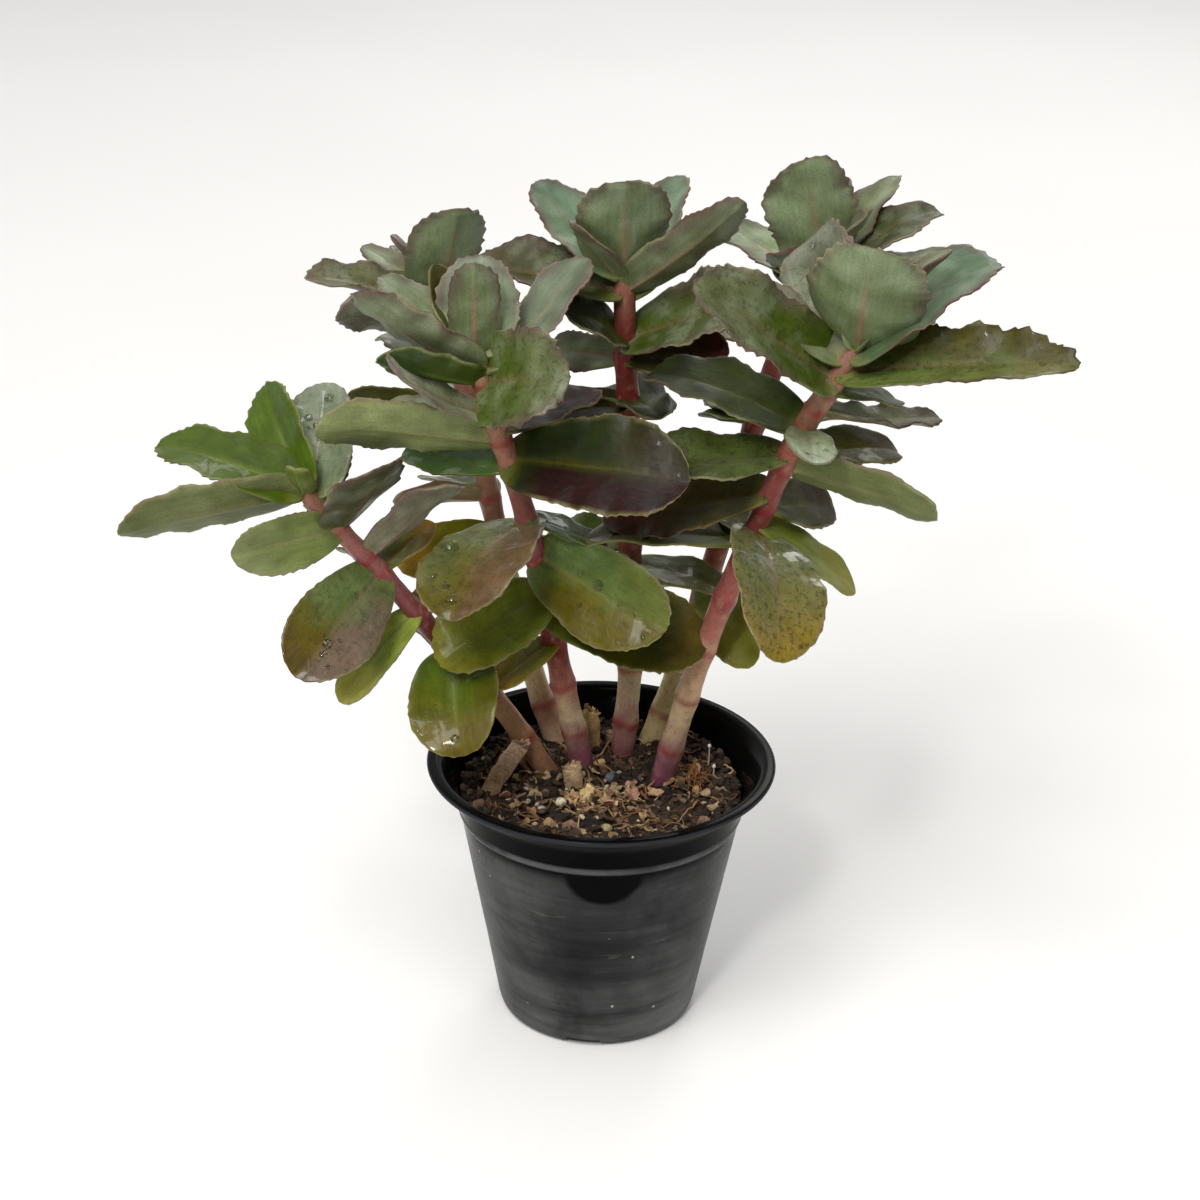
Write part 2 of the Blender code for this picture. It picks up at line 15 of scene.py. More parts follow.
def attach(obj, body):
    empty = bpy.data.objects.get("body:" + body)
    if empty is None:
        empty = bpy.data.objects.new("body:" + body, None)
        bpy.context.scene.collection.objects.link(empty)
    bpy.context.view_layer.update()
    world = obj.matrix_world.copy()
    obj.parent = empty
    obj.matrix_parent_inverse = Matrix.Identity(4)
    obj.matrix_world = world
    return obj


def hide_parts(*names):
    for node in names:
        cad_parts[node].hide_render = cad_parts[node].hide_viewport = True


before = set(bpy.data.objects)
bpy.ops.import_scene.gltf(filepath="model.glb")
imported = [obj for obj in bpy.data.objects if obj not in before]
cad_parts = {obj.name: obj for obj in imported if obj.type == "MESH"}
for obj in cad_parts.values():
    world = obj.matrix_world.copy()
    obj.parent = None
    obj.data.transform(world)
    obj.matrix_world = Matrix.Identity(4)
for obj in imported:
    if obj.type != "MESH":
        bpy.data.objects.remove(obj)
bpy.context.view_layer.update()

MM = 0.001
BODY = "root"

# Leaf skins: colours near the stem, near the tip, on the margin, along the midrib and underneath, as they
# look in daylight (0 to 255); how wet it is, how speckled, how deep its teeth are and how wavy its margin is.
# A skin may have one half in another colour, and a calm half with an almost smooth margin: +1 is the half on
# the left when looking from the stem.
SKINS = {
    "wax": dict(near=(108, 123, 86), far=(120, 131, 106), rim=(100, 72, 70), rib=(142, 112, 98),
                under=(112, 121, 92), wet=0.15, speck=0.15, teeth=1.0, wave=0.9),
    "wax_green": dict(near=(98, 117, 76), far=(124, 137, 110), rim=(98, 70, 66), rib=(146, 108, 94),
                      under=(107, 120, 88), wet=0.15, speck=0.1, teeth=1.0, wave=0.8),
    "wax_blue": dict(near=(120, 138, 104), far=(146, 158, 138), rim=(140, 112, 108), rib=(140, 122, 104),
                     under=(124, 132, 104), wet=0.15, speck=0.1, teeth=0.9, wave=0.9),
    "wax_teal": dict(near=(100, 124, 92), far=(110, 132, 112), rim=(104, 62, 66), rib=(126, 116, 96),
                     under=(108, 122, 94), wet=0.15, speck=0.15, teeth=0.9, wave=0.8),
    "wax_violet": dict(near=(100, 106, 80), far=(130, 134, 118), rim=(132, 106, 104), rib=(138, 108, 100),
                       under=(112, 110, 92), wet=0.35, speck=0.3, teeth=0.9, wave=0.9),
    "wax_dark": dict(near=(74, 88, 48), far=(92, 98, 72), rim=(104, 72, 72), rib=(110, 96, 72),
                     under=(106, 110, 88), wet=0.35, speck=0.45, teeth=1.0, wave=1.0),
    "wax_dusk": dict(near=(98, 106, 70), far=(96, 92, 70), rim=(80, 46, 48), rib=(130, 106, 90),
                     under=(118, 110, 92), wet=0.2, speck=0.4, teeth=1.2, wave=1.1),
    "frayed": dict(near=(84, 98, 56), far=(90, 90, 60), rim=(70, 42, 42), rib=(118, 104, 84),
                   under=(118, 110, 92), wet=0.2, speck=0.5, teeth=1.5, wave=1.3,
                   half=(1, (70, 66, 44)), calm=-1),
    "green": dict(near=(88, 108, 46), far=(84, 102, 44), rim=(98, 96, 60), rib=(112, 126, 72),
                  under=(104, 118, 70), wet=0.3, speck=0.15, teeth=1.0, wave=0.7),
    "bright": dict(near=(94, 118, 46), far=(90, 112, 42), rim=(128, 128, 84), rib=(122, 138, 84),
                   under=(112, 124, 72), wet=0.3, speck=0.1, teeth=1.2, wave=0.7),
    "deep": dict(near=(62, 92, 28), far=(52, 76, 24), rim=(92, 100, 62), rib=(92, 118, 56),
                 under=(84, 102, 52), wet=0.55, speck=0.2, teeth=0.6, wave=0.6),
    "grey_wet": dict(near=(112, 124, 96), far=(134, 142, 124), rim=(112, 104, 84), rib=(128, 128, 108),
                     under=(118, 124, 98), wet=0.95, speck=0.25, teeth=0.5, wave=0.5),
    "pale": dict(near=(110, 122, 76), far=(118, 126, 88), rim=(128, 112, 92), rib=(128, 128, 90),
                 under=(116, 124, 84), wet=0.1, speck=0.1, teeth=0.7, wave=0.6),
    "tan": dict(near=(116, 112, 80), far=(146, 126, 100), rim=(120, 92, 76), rib=(140, 120, 96),
                under=(146, 130, 102), wet=0.1, speck=0.2, teeth=0.6, wave=0.7),
    "olive": dict(near=(90, 100, 42), far=(88, 84, 34), rim=(124, 116, 74), rib=(112, 118, 62),
                  under=(100, 102, 56), wet=0.35, speck=0.2, teeth=0.6, wave=0.6),
    "yellowish": dict(near=(104, 116, 52), far=(124, 122, 58), rim=(140, 132, 84), rib=(128, 132, 76),
                      under=(116, 120, 66), wet=0.2, speck=0.1, teeth=0.4, wave=0.5),
    "amber": dict(near=(92, 94, 34), far=(124, 96, 34), rim=(146, 120, 70), rib=(124, 100, 56),
                  under=(120, 104, 50), wet=0.45, speck=0.25, teeth=0.4, wave=0.5),
    "ripe": dict(near=(92, 114, 44), far=(104, 94, 26), rim=(136, 122, 60), rib=(140, 150, 106),
                 under=(100, 112, 52), wet=0.5, speck=0.15, teeth=0.3, wave=0.4),
    "ripe_olive": dict(near=(98, 112, 72), far=(92, 74, 24), rim=(108, 92, 66), rib=(116, 104, 88),
                       under=(100, 104, 66), wet=0.9, speck=0.35, teeth=0.35, wave=0.5,
                       half=(1, (108, 92, 84))),
    "wet_pink": dict(near=(104, 110, 76), far=(94, 86, 44), rim=(128, 108, 82), rib=(136, 104, 92),
                     under=(104, 104, 70), wet=0.7, speck=0.4, teeth=0.4, wave=0.7,
                     half=(1, (104, 82, 68))),
    "bronze": dict(near=(58, 70, 24), far=(60, 56, 20), rim=(140, 124, 96), rib=(98, 98, 56),
                   under=(84, 78, 44), wet=0.12, speck=0.5, teeth=0.5, wave=0.8,
                   half=(-1, (60, 34, 12))),
    "sage_amber": dict(near=(96, 116, 70), far=(104, 112, 62), rim=(136, 124, 92), rib=(120, 118, 70),
                       under=(96, 104, 58), wet=0.75, speck=0.2, teeth=0.4, wave=0.4,
                       half=(-1, (100, 88, 26))),
    "moss": dict(near=(72, 76, 18), far=(70, 62, 10), rim=(124, 118, 76), rib=(92, 94, 40),
                 under=(84, 82, 34), wet=0.2, speck=0.2, teeth=0.6, wave=0.6),
    "umber": dict(near=(60, 58, 26), far=(70, 40, 18), rim=(124, 100, 80), rib=(82, 70, 40),
                  under=(76, 58, 34), wet=0.1, speck=0.5, teeth=0.7, wave=0.9),
    "slate": dict(near=(62, 72, 40), far=(46, 50, 32), rim=(96, 82, 68), rib=(84, 88, 60),
                  under=(72, 76, 50), wet=0.15, speck=0.6, teeth=0.8, wave=0.9),
    "mottled": dict(near=(104, 110, 76), far=(124, 106, 50), rim=(136, 112, 80), rib=(128, 104, 84),
                    under=(116, 112, 72), wet=0.8, speck=0.6, teeth=0.4, wave=0.6),
}

# Each stem: its route from the soil up, in mm, its radius low and high, the bare nodes below its leaves as
# fractions of its length, its bark and its leaves. Each stop of the bark: a fraction of the length, then red,
# green and blue; the pale stops low on the stems hold the bark's own cream lightened further, a painted light
# against the shade of the foliage. Each leaf: the fraction of the stem where it grows, the way it points (0
# is right, 90 is back, 180 is left), its rise, its length and width in mm, how far its tip bends down, its
# roll about its own length and how far its halves are folded up, the angles in degrees, its skin, and how
# bright the skin is if not 1. That brightness is partly the leaf's own tone and partly painted light and
# shade: it lightens leaves that lie in the shade of others and darkens those that face the lamps.
STEMS = {
    "left": {
        "route": [
            (-18, 14, 78), (-34, 8, 106), (-52, 0, 132), (-72, -8, 161), (-83, -12, 175.5),
            (-94, -16, 190.5),
        ],
        "radii": (3.7, 2.8),
        "bare_nodes": (0.12, 0.28),
        "bark": [
            (0.0, 150, 112, 84), (0.15, 182, 148, 110), (0.3, 164, 118, 86), (0.5, 100, 46, 38),
            (0.7, 144, 88, 88), (1.0, 156, 116, 94),
        ],
        "leaves": [
            (1.00, 200, -9, 58, 24, -6, 62, 25, "pale", 0.74),
            (0.99, 175, 23, 49, 26, 12, -25, 30, "green", 0.75),
            (0.98, 125, 40, 42, 24, 15, -60, 30, "bright", 0.7),
            (0.97, 85, 42, 41, 24, -10, 0, 25, "grey_wet"),
            (0.96, 70, 27, 24, 14, 0, 0, 30, "green"),
            (0.87, 320, 50, 36, 32, -10, -5, 25, "wax_dark", 0.58),
            (0.87, 228, 5, 38, 20, 15, -66, 30, "pale"),
            (0.87, 110, 10, 28, 18, 10, 0, 25, "green"),
            (0.77, 355, 45, 41, 20, 0, -45, 35, "wax_violet", 1.3),
            (0.75, 120, -10, 22, 12, 0, 10, 30, "green"),
            (0.72, 50, 25, 26, 14, 0, 0, 25, "amber"),
            (0.72, 250, -12, 49, 30, 25, -45, 20, "ripe_olive", 1.02),
            (0.58, 230, -25, 39, 17, 25, -15, 20, "yellowish", 2),
            (0.57, 72, 5, 27, 18, 20, 0, 20, "olive"),
            (0.43, 273, -3, 44, 33, 42, 10, 20, "ripe", 0.84),
            (0.42, 110, 5, 30, 18, 20, 0, 20, "olive"),
            (0.99, 262, 46, 17, 10, -6, 0, 40, "bright"),
        ],
    },
    "back_left": {
        "route": [
            (-15, 33, 78), (-24, 37, 105), (-34, 43, 143), (-45, 50, 190), (-54, 56, 226),
            (-56, 57, 232),
        ],
        "radii": (3.9, 3.15),
        "bare_nodes": (0.1, 0.22, 0.34),
        "bark": [
            (0.0, 190, 172, 132), (0.06, 200, 160, 142), (0.2, 200, 188, 138), (0.5, 150, 112, 86),
            (1.0, 146, 104, 90),
        ],
        "leaves": [
            (1.00, 302, 60, 33, 30, -12, 0, 30, "wax_green", 1.2),
            (0.99, 123, 15, 32, 16, -10, -5, 30, "wax_dark"),
            (0.98, 152, 26, 34, 13, 0, -5, 30, "wax"),
            (0.97, 206, 15, 50, 21, 0, -20, 50, "wax_dusk"),
            (0.96, 60, 12, 36, 22, 0, 0, 30, "wax"),
            (0.95, 225, 8, 44, 20, -10, 55, 30, "wax_violet"),
            (0.94, 100, 10, 42, 25, 5, 0, 25, "wax_green"),
            (0.84, 130, 5, 42, 24, 10, 0, 25, "wax_dark"),
            (0.84, 40, 5, 34, 22, 10, 0, 25, "green"),
            (0.71, 193, 18, 46, 26, 4, -10, 25, "olive", 0.5),
            (0.71, 90, 5, 44, 26, 12, 0, 25, "green"),
            (0.56, 202, 10, 35, 13, 3, 55, 30, "tan"),
            (0.56, 125, 0, 38, 24, 15, 0, 20, "olive"),
            (0.47, 220, 4, 40, 22, 20, -48, 20, "amber", 1.5),
            (0.45, 75, 0, 34, 22, 20, 0, 20, "olive"),
            (0.99, 185, 52, 26, 13, -6, 0, 40, "wax_dark"),
        ],
    },
    "front_left": {
        "route": [
            (-6, 17, 78), (-15, 10, 122), (-22, 3, 161), (-28, -3, 187), (-35, -9, 212),
            (-41, -13, 235),
        ],
        "radii": (4.0, 3.1),
        "bare_nodes": (0.1, 0.22),
        "bark": [
            (0.0, 128, 78, 96), (0.07, 150, 104, 108), (0.14, 208, 192, 152), (0.21, 172, 126, 106),
            (0.3, 124, 56, 52), (0.45, 124, 60, 54), (0.6, 154, 96, 94), (0.8, 168, 122, 100),
            (1.0, 154, 122, 96),
        ],
        "leaves": [
            (1.00, 270, 85, 29, 19, -5, 5, 45, "wax_green", 0.92),
            (0.99, 90, 42, 33, 27, -15, 5, 30, "wax_blue", 0.87),
            (0.98, 130, 40, 34, 14, -20, 0, 30, "olive", 0.6),
            (0.97, 150, 28, 42, 20, 0, -15, 30, "wax"),
            (0.96, 215, 30, 51, 20, -20, 40, 40, "wax"),
            (0.96, 36, 20, 50, 24, -30, 0, 30, "wax_blue", 0.58),
            (0.94, 312, 18, 39, 33, 12, 66, 25, "wax_dark", 1.15),
            (0.94, 220, 18, 40, 18, -22, 35, 30, "deep", 0.62),
            (0.86, 210, 20, 50, 15, -40, -30, 40, "wax_violet", 2.2),
            (0.84, 155, 0, 38, 16, -5, -12, 30, "wax"),
            (0.83, 40, 6, 40, 22, -10, 10, 25, "umber", 0.7),
            (0.81, 192, 7, 58, 24, 0, 62, 25, "pale", 1.3),
            (0.76, 327, 11, 62, 36, 7, 48, 25, "bronze", 0.8),
            (0.74, 150, -8, 40, 20, -8, -15, 25, "deep", 1.2),
            (0.62, 2, -16, 30, 22, 15, 0, 20, "deep"),
            (0.61, 243, 5, 57, 37, 42, 12, 20, "wet_pink"),
            (0.53, 312, -7, 53, 34, 25, 68, 20, "sage_amber", 0.9),
            (0.44, 224, -7, 43, 31, 20, -30, 20, "olive", 1.8),
            (0.40, 336, 4, 54, 33, 20, 45, 20, "moss", 1.4),
            (0.32, 221, -10, 27, 19, 20, -5, 20, "amber", 1.8),
        ],
    },
    "centre": {
        "route": [
            (7, 26, 78), (9, 26, 111), (8, 26, 151), (7, 26, 193), (5, 25, 224), (4, 25, 249),
        ],
        "radii": (3.9, 3.5),
        "bare_nodes": (0.08, 0.2, 0.33),
        "bark": [
            (0.0, 130, 82, 90), (0.07, 164, 124, 114), (0.15, 206, 190, 150), (0.3, 180, 156, 116),
            (0.5, 124, 66, 56), (0.7, 118, 50, 46), (0.9, 124, 62, 56), (1.0, 146, 106, 88),
        ],
        "leaves": [
            (1.00, 268, 68, 36, 32, -14, 8, 35, "wax_green", 1.06),
            (0.99, 138, 27, 45, 24, -15, -5, 30, "wax_teal", 0.87),
            (0.98, 60, 30, 45, 21, -15, -5, 30, "wax_teal"),
            (0.97, 325, 35, 53, 18, -20, -45, 35, "wax", 0.82),
            (0.96, 170, 13, 51, 27, 5, -25, 50, "wax_dusk", 0.55),
            (0.95, 90, 12, 46, 28, 5, 0, 30, "wax_green"),
            (0.87, 335, 28, 49, 33, -5, 33, 30, "wax_dark", 0.85),
            (0.87, 226, 42, 29, 23, 25, -35, 25, "slate"),
            (0.84, 335, 12, 36, 20, 0, 35, 25, "umber"),
            (0.84, 140, -12, 33, 17, 0, -40, 25, "wax"),
            (0.84, 60, 5, 42, 26, 12, 0, 25, "wax_dark"),
            (0.75, 140, 0, 33, 22, 15, 0, 25, "umber"),
            (0.75, 200, 0, 34, 20, 15, -20, 25, "umber"),
            (0.75, 292, 15, 27, 18, 12, 0, 25, "slate"),
            (0.76, 60, -15, 27, 18, 0, 40, 25, "slate"),
            (0.60, 100, 0, 42, 26, 15, 0, 20, "olive"),
            (0.60, 10, 0, 33, 24, 15, 0, 20, "deep"),
            (0.46, 145, -7, 40, 22, 11, -20, 25, "green"),
            (0.42, 330, 0, 34, 24, 15, 0, 20, "olive"),
            (0.99, 205, 48, 28, 13, -6, 0, 40, "wax_green"),
        ],
    },
    "back_right": {
        "route": [
            (16, 34, 78), (23, 35, 99), (35, 40, 140), (48, 47, 191), (58, 52, 222), (69, 55, 244),
        ],
        "radii": (4.0, 3.3),
        "bare_nodes": (0.08, 0.18, 0.27),
        "bark": [
            (0.0, 198, 182, 132), (0.16, 206, 194, 142), (0.28, 160, 120, 80), (0.45, 104, 46, 38),
            (0.75, 120, 62, 54), (1.0, 142, 108, 86),
        ],
        "leaves": [
            (1.00, 240, 64, 41, 32, -15, 40, 30, "wax_green", 1.4),
            (0.99, 65, 50, 32, 14, -10, 0, 30, "wax_blue"),
            (0.98, 45, 31, 46, 18, -15, -5, 30, "wax"),
            (0.97, 13, 31, 47, 22, 12, 20, 30, "wax_dark", 0.55),
            (0.96, 214, 40, 21, 18, -6, 35, 35, "wax_teal"),
            (0.96, 130, 15, 46, 26, 5, 0, 30, "wax"),
            (0.95, 349, 23, 54, 24, 5, 0, 25, "wax"),
            (0.94, 85, 10, 46, 28, 5, 0, 30, "wax_green"),
            (0.84, 170, 5, 32, 20, 12, 0, 25, "wax_dark"),
            (0.84, 50, 5, 42, 26, 12, 0, 25, "wax_dark"),
            (0.68, 137, -10, 24, 14, 5, 0, 25, "green"),
            (0.68, 100, 0, 42, 26, 15, 0, 25, "green"),
            (0.68, 15, 0, 42, 24, 15, 0, 25, "green"),
            (0.50, 60, 0, 36, 24, 20, 0, 20, "olive"),
            (0.36, 283, -8, 40, 20, 30, 30, 20, "yellowish"),
            (0.35, 132, -10, 26, 14, 10, 0, 20, "olive"),
            (0.34, 36, -25, 28, 22, 10, 40, 20, "wax"),
            (0.99, 330, 55, 26, 12, -6, 10, 40, "wax"),
        ],
    },
    "front_right": {
        "route": [
            (20, 8, 78), (30, 2, 122), (42, -6, 164), (50, -12, 189), (56, -16, 207), (65, -21, 227),
            (74, -25, 244),
        ],
        "radii": (3.9, 3.05),
        "bare_nodes": (0.08, 0.2, 0.31, 0.43),
        "bark": [
            (0.0, 122, 72, 92), (0.07, 156, 110, 112), (0.15, 206, 184, 146), (0.27, 186, 150, 118),
            (0.4, 150, 88, 78), (0.6, 142, 80, 72), (0.72, 138, 78, 70), (0.86, 162, 124, 98),
            (1.0, 152, 112, 98),
        ],
        "leaves": [
            (1.00, 265, 47, 42, 40, -25, -15, 35, "wax_green", 1.04),
            (0.99, 100, 70, 22, 12, -10, 0, 45, "wax_blue"),
            (0.98, 115, 38, 49, 32, 5, -55, 30, "wax_violet", 0.84),
            (0.97, 5, 44, 53, 38, 10, 10, 25, "wax_teal", 0.8),
            (0.96, 147, 24, 39, 17, -5, -14, 30, "wax"),
            (0.94, 332, 15, 74, 25, 13, 37, 50, "frayed", 1.25),
            (0.93, 75, 12, 48, 30, 5, 0, 30, "wax_green"),
            (0.92, 198, 36, 57, 31, -5, -43, 45, "wax_dark", 1.15),
            (0.90, 30, -5, 29, 19, 20, 20, 25, "green", 0.62),
            (0.86, 33, -24, 50, 17, -25, 5, 35, "wax_dusk", 1.7),
            (0.81, 164, 26, 52, 34, 19, -14, 25, "slate"),
            (0.81, 275, 5, 27, 18, 13, -10, 20, "grey_wet", 1.6),
            (0.77, 30, -19, 39, 21, -18, 28, 25, "moss", 1.15),
            (0.75, 175, -7, 45, 24, -20, -20, 25, "slate", 1.9),
            (0.73, 348, -9, 50, 21, 7, -62, 25, "pale", 0.87),
            (0.67, 158, -20, 58, 31, -6, -25, 25, "umber", 1.4),
            (0.64, 45, -15, 34, 20, 0, 40, 25, "moss", 0.8),
            (0.60, 7, -29, 42, 19, 10, 22, 20, "yellowish", 1.1),
            (0.58, 286, 4, 58, 35, 52, -22, 20, "mottled"),
            (0.56, 175, 2, 53, 26, 4, -8, 25, "olive"),
            (0.57, 100, 0, 38, 24, 15, 0, 25, "olive"),
            (0.99, 352, 48, 42, 14, -8, 12, 40, "wax"),
            (0.99, 190, 62, 26, 12, -6, 0, 45, "wax"),
        ],
    },
}

# Each dead stub: its route in mm, its radius, and its colours low and high; the left stub's colours are its
# own tone lightened further, a painted light against the shade of the leaf above it
STUBS = {
    "dead_stub_left": (
        [(-37.5, -3.5, 68), (-37, -3, 78), (-31, 0, 88), (-27, 2, 94)], 3.2, (168, 140, 96), (224, 184, 154),
    ),
    "dead_stub_front": (
        [(-9, 2, 66), (-9, 2, 78), (-9.5, 2.5, 86)], 3.2, (140, 108, 74), (200, 170, 132),
    ),
    "dead_stub_middle": (
        [(-2, 27, 66), (-3, 28, 78), (-4, 31, 92)], 3.0, (150, 124, 76), (196, 166, 112),
    ),
}
STUB_RINGS = 34
STUB_SIDES = 28
STUB_SCRAPS = 12

# Stem shape as in the part, with finer rings: heights, lengths and radii in mm, places as fractions of a stem
SPLINE_STEPS = 12
STEM_START = 62.0
STEM_TURN = 74.0
STEM_SIDES = 24
RING_STEP = 1.2
NODE_SWELL = 0.5
NODE_LENGTH = 4.0
NODE_SPACING = 0.04
NODE_RIDGE = 0.1
RIDGE_LENGTH = 0.9
ROSETTE_START = 0.95
TIP_START = 0.97
TIP_RADIUS = 1.7

# Blade shape as in the part, with a broader foot: shares of a blade's greatest half width or of its length
BASE_SHARE = 0.34
BELLY_SHARE = 2.11
FOOT_PLACE = 0.13
ROSETTE_CLASP = 0.24
STEM_CLASP = 0.06
CLASP_START = 0.91
TOOTH_START = 0.3
TOOTH_DEPTH = 0.042
TOOTH_PEAK = 0.72

# What a calm half keeps of its teeth and waves, and how finely blades are drawn: rows along the margin in mm
CALM_SHARE = 0.35
SPINE_STEPS = 48
OUTLINE_STEPS = 400
TIP_END = 0.99985
MARGIN_STEP = 0.8
FEWEST_ROWS = 30
LEAF_SEED = 7

# What sets apart the noise of one stem from the next, and of its leaves: more than the leaves of any stem
STEM_SHIFT = 17.0
LEAF_NUMBERS = 40

# Blade thickness: half of it at the midrib in mm, and the share of that left at the margin and at the tip
HALF_THICKNESS = 0.85
RIM_THICKNESS = 0.28
TIP_THICKNESS = 0.35

# Colours are darkened by the sheen that the shader adds back, down to a darkest linear value
GLOSS_VEIL = np.array((0.016, 0.017, 0.024))
DARKEST = 0.003


def daylight(colour):
    """A colour of 0 to 255 as it looks, in the linear values that a shader takes."""
    shares = np.asarray(colour, float) / 255.0
    return np.where(shares <= 0.04045, shares / 12.92, ((shares + 0.055) / 1.055) ** 2.4)


WAX_BLOOM = daylight((150, 158, 140))
BLOOM_SHARE = 0.45
PALE_RIM = daylight((146, 146, 114))
DUSKY = daylight((98, 86, 82))
PALE_FOOT = daylight((132, 132, 84))
NODE_RED = daylight((146, 52, 56))
BARK_PALE = daylight((178, 156, 122))


def smooth(low, high, value):
    """A soft step from 0 at low to 1 at high, or the other way round where low is the greater."""
    t = np.clip((value - low) / (high - low), 0.0, 1.0)
    return t * t * (3 - 2 * t)


def mix(first, second, share):
    """Two colours blended by a share for each point."""
    share = np.asarray(share)[..., None]
    return first * (1 - share) + second * share


def unit(vectors):
    """Vectors brought to length 1."""
    return vectors / np.linalg.norm(vectors, axis=-1, keepdims=True)


def noise_at(points, scale, shift=0.0):
    """Smooth noise between about -1 and 1 at each point, in mm."""
    flat = np.asarray(points).reshape(-1, 3) * scale + shift
    values = [noise.noise(Vector(p)) for p in flat]
    return np.array(values).reshape(np.shape(points)[:-1])


def placed(name, data):
    """A new object for a mesh, light or camera, linked to the scene."""
    made = bpy.data.objects.new(name, data)
    bpy.context.scene.collection.objects.link(made)
    return made


def placed_mesh(name, bm):
    """A new object made from an edit mesh, which is freed."""
    mesh = bpy.data.meshes.new(name)
    bm.to_mesh(mesh)
    bm.free()
    return placed(name, mesh)


class Shell:
    """Points, faces and per-point paint that end up as one mesh."""

    def __init__(self):
        self.points = []
        self.faces = []
        self.paint = []
        self.traits = []
        self.grain = []
        self.count = 0

    def add(self, points, faces, paint, traits=(0.0, 0.0), grain=None):
        """Points in mm, faces as indices into them; for each point a linear colour, how wet and how
        speckled it is, and its place on the flat skin.
        """
        points = np.asarray(points, float).reshape(-1, 3)
        total = len(points)
        self.points.append(points)
        self.faces.extend([index + self.count for index in face] for face in faces)
        self.paint.append(np.broadcast_to(np.reshape(paint, (-1, 3)), (total, 3)))
        self.traits.append(np.broadcast_to(np.reshape(traits, (-1, 2)), (total, 2)))
        self.grain.append(points if grain is None else np.asarray(grain, float).reshape(-1, 3))
        self.count += total

    def make(self, name, material, sharp=None):
        """One smooth object, with edges kept sharp above an angle in degrees if it is given."""
        mesh = bpy.data.meshes.new(name)
        points = np.concatenate(self.points) * MM
        mesh.from_pydata(points.tolist(), [], self.faces)
        for label, rows in (("paint", self.paint), ("traits", self.traits)):
            layer = mesh.attributes.new(label, "FLOAT_COLOR", "POINT")
            values = np.clip(np.concatenate(rows), 0, 1)
            values = np.pad(values, ((0, 0), (0, 4 - values.shape[1])), constant_values=1)
            layer.data.foreach_set("color", values.astype(np.float32).ravel())
        layer = mesh.attributes.new("grain", "FLOAT_VECTOR", "POINT")
        layer.data.foreach_set("vector", np.concatenate(self.grain).astype(np.float32).ravel())
        mesh.materials.append(material)
        mesh.shade_smooth()
        if sharp:
            mesh.set_sharp_from_angle(angle=math.radians(sharp))
        mesh.update()
        return placed(name, mesh)


def grid_faces(rows, columns, start=0, closed=False, flip=False):
    """Quads between rows of points; closed joins the last column to the first."""
    faces = []
    across = columns if closed else columns - 1
    for row in range(rows - 1):
        for column in range(across):
            beside = (column + 1) % columns
            a = start + row * columns + column
            b = start + row * columns + beside
            c = start + (row + 1) * columns + beside
            d = start + (row + 1) * columns + column
            faces.append((a, d, c, b) if flip else (a, b, c, d))
    return faces


def spline_points(points, count):
    """Evenly spaced points on a smooth curve through the given ones."""
    knots = [Vector(p) for p in points]
    ends = [2 * knots[0] - knots[1]] + knots + [2 * knots[-1] - knots[-2]]
    fine = []
    for before, start, end, after in zip(ends, ends[1:], ends[2:], ends[3:]):
        bending = 2 * before - 5 * start + 4 * end - after
        twisting = 3 * start - before - 3 * end + after
        for step in range(SPLINE_STEPS):
            t = step / SPLINE_STEPS
            fine.append(start + 0.5 * ((end - before) * t + bending * t**2 + twisting * t**3))
    fine.append(knots[-1])
    lengths = [0.0]
    for a, b in zip(fine, fine[1:]):
        lengths.append(lengths[-1] + (b - a).length)
    spaced = []
    index = 0
    for number in range(count):
        wanted = lengths[-1] * number / (count - 1)
        while index < len(lengths) - 2 and lengths[index + 1] < wanted:
            index += 1
        share = (wanted - lengths[index]) / (lengths[index + 1] - lengths[index])
        spaced.append(fine[index].lerp(fine[index + 1], share))
    return spaced, lengths[-1]


class Route:
    """A stem's centre line above the soil, read by the fraction of its length."""

    FINENESS = 200

    def __init__(self, points):
        self.points, self.length = spline_points(points, self.FINENESS + 1)

    def at(self, fraction):
        """The point at a fraction of the length."""
        place = max(0.0, min(1.0, fraction)) * self.FINENESS
        index = min(int(place), self.FINENESS - 1)
        return self.points[index].lerp(self.points[index + 1], place - index)

    def buried(self):
        """Two points below the soil: the foot, straight down, and the bend where the route turns to it."""
        start = self.points[0]
        slope = self.at(0.04) - start
        turn = start + slope * ((STEM_TURN - start.z) / slope.z)
        return [Vector((turn.x, turn.y, STEM_START)), turn]


def tube_points(centres, radii, sides, wobble=None):
    """Rings of points round a line of centres; wobble is a matrix of extra radius, a row for each ring."""
    centres = np.asarray([tuple(c) for c in centres], float)
    ahead = unit(np.gradient(centres, axis=0))
    side = np.cross(ahead[0], (0.0, 0.0, 1.0) if abs(ahead[0][2]) < 0.9 else (0.0, 1.0, 0.0))
    rings = []
    angles = np.arange(sides) * math.tau / sides
    for row in range(len(centres)):
        side = unit(side - ahead[row] * np.dot(side, ahead[row]))
        other = np.cross(ahead[row], side)
        radius = radii[row] + (wobble[row] if wobble is not None else 0.0)
        radius = np.broadcast_to(radius, (sides,))
        ring = np.outer(np.cos(angles) * radius, side) + np.outer(np.sin(angles) * radius, other)
        rings.append(centres[row] + ring)
    return np.array(rings)


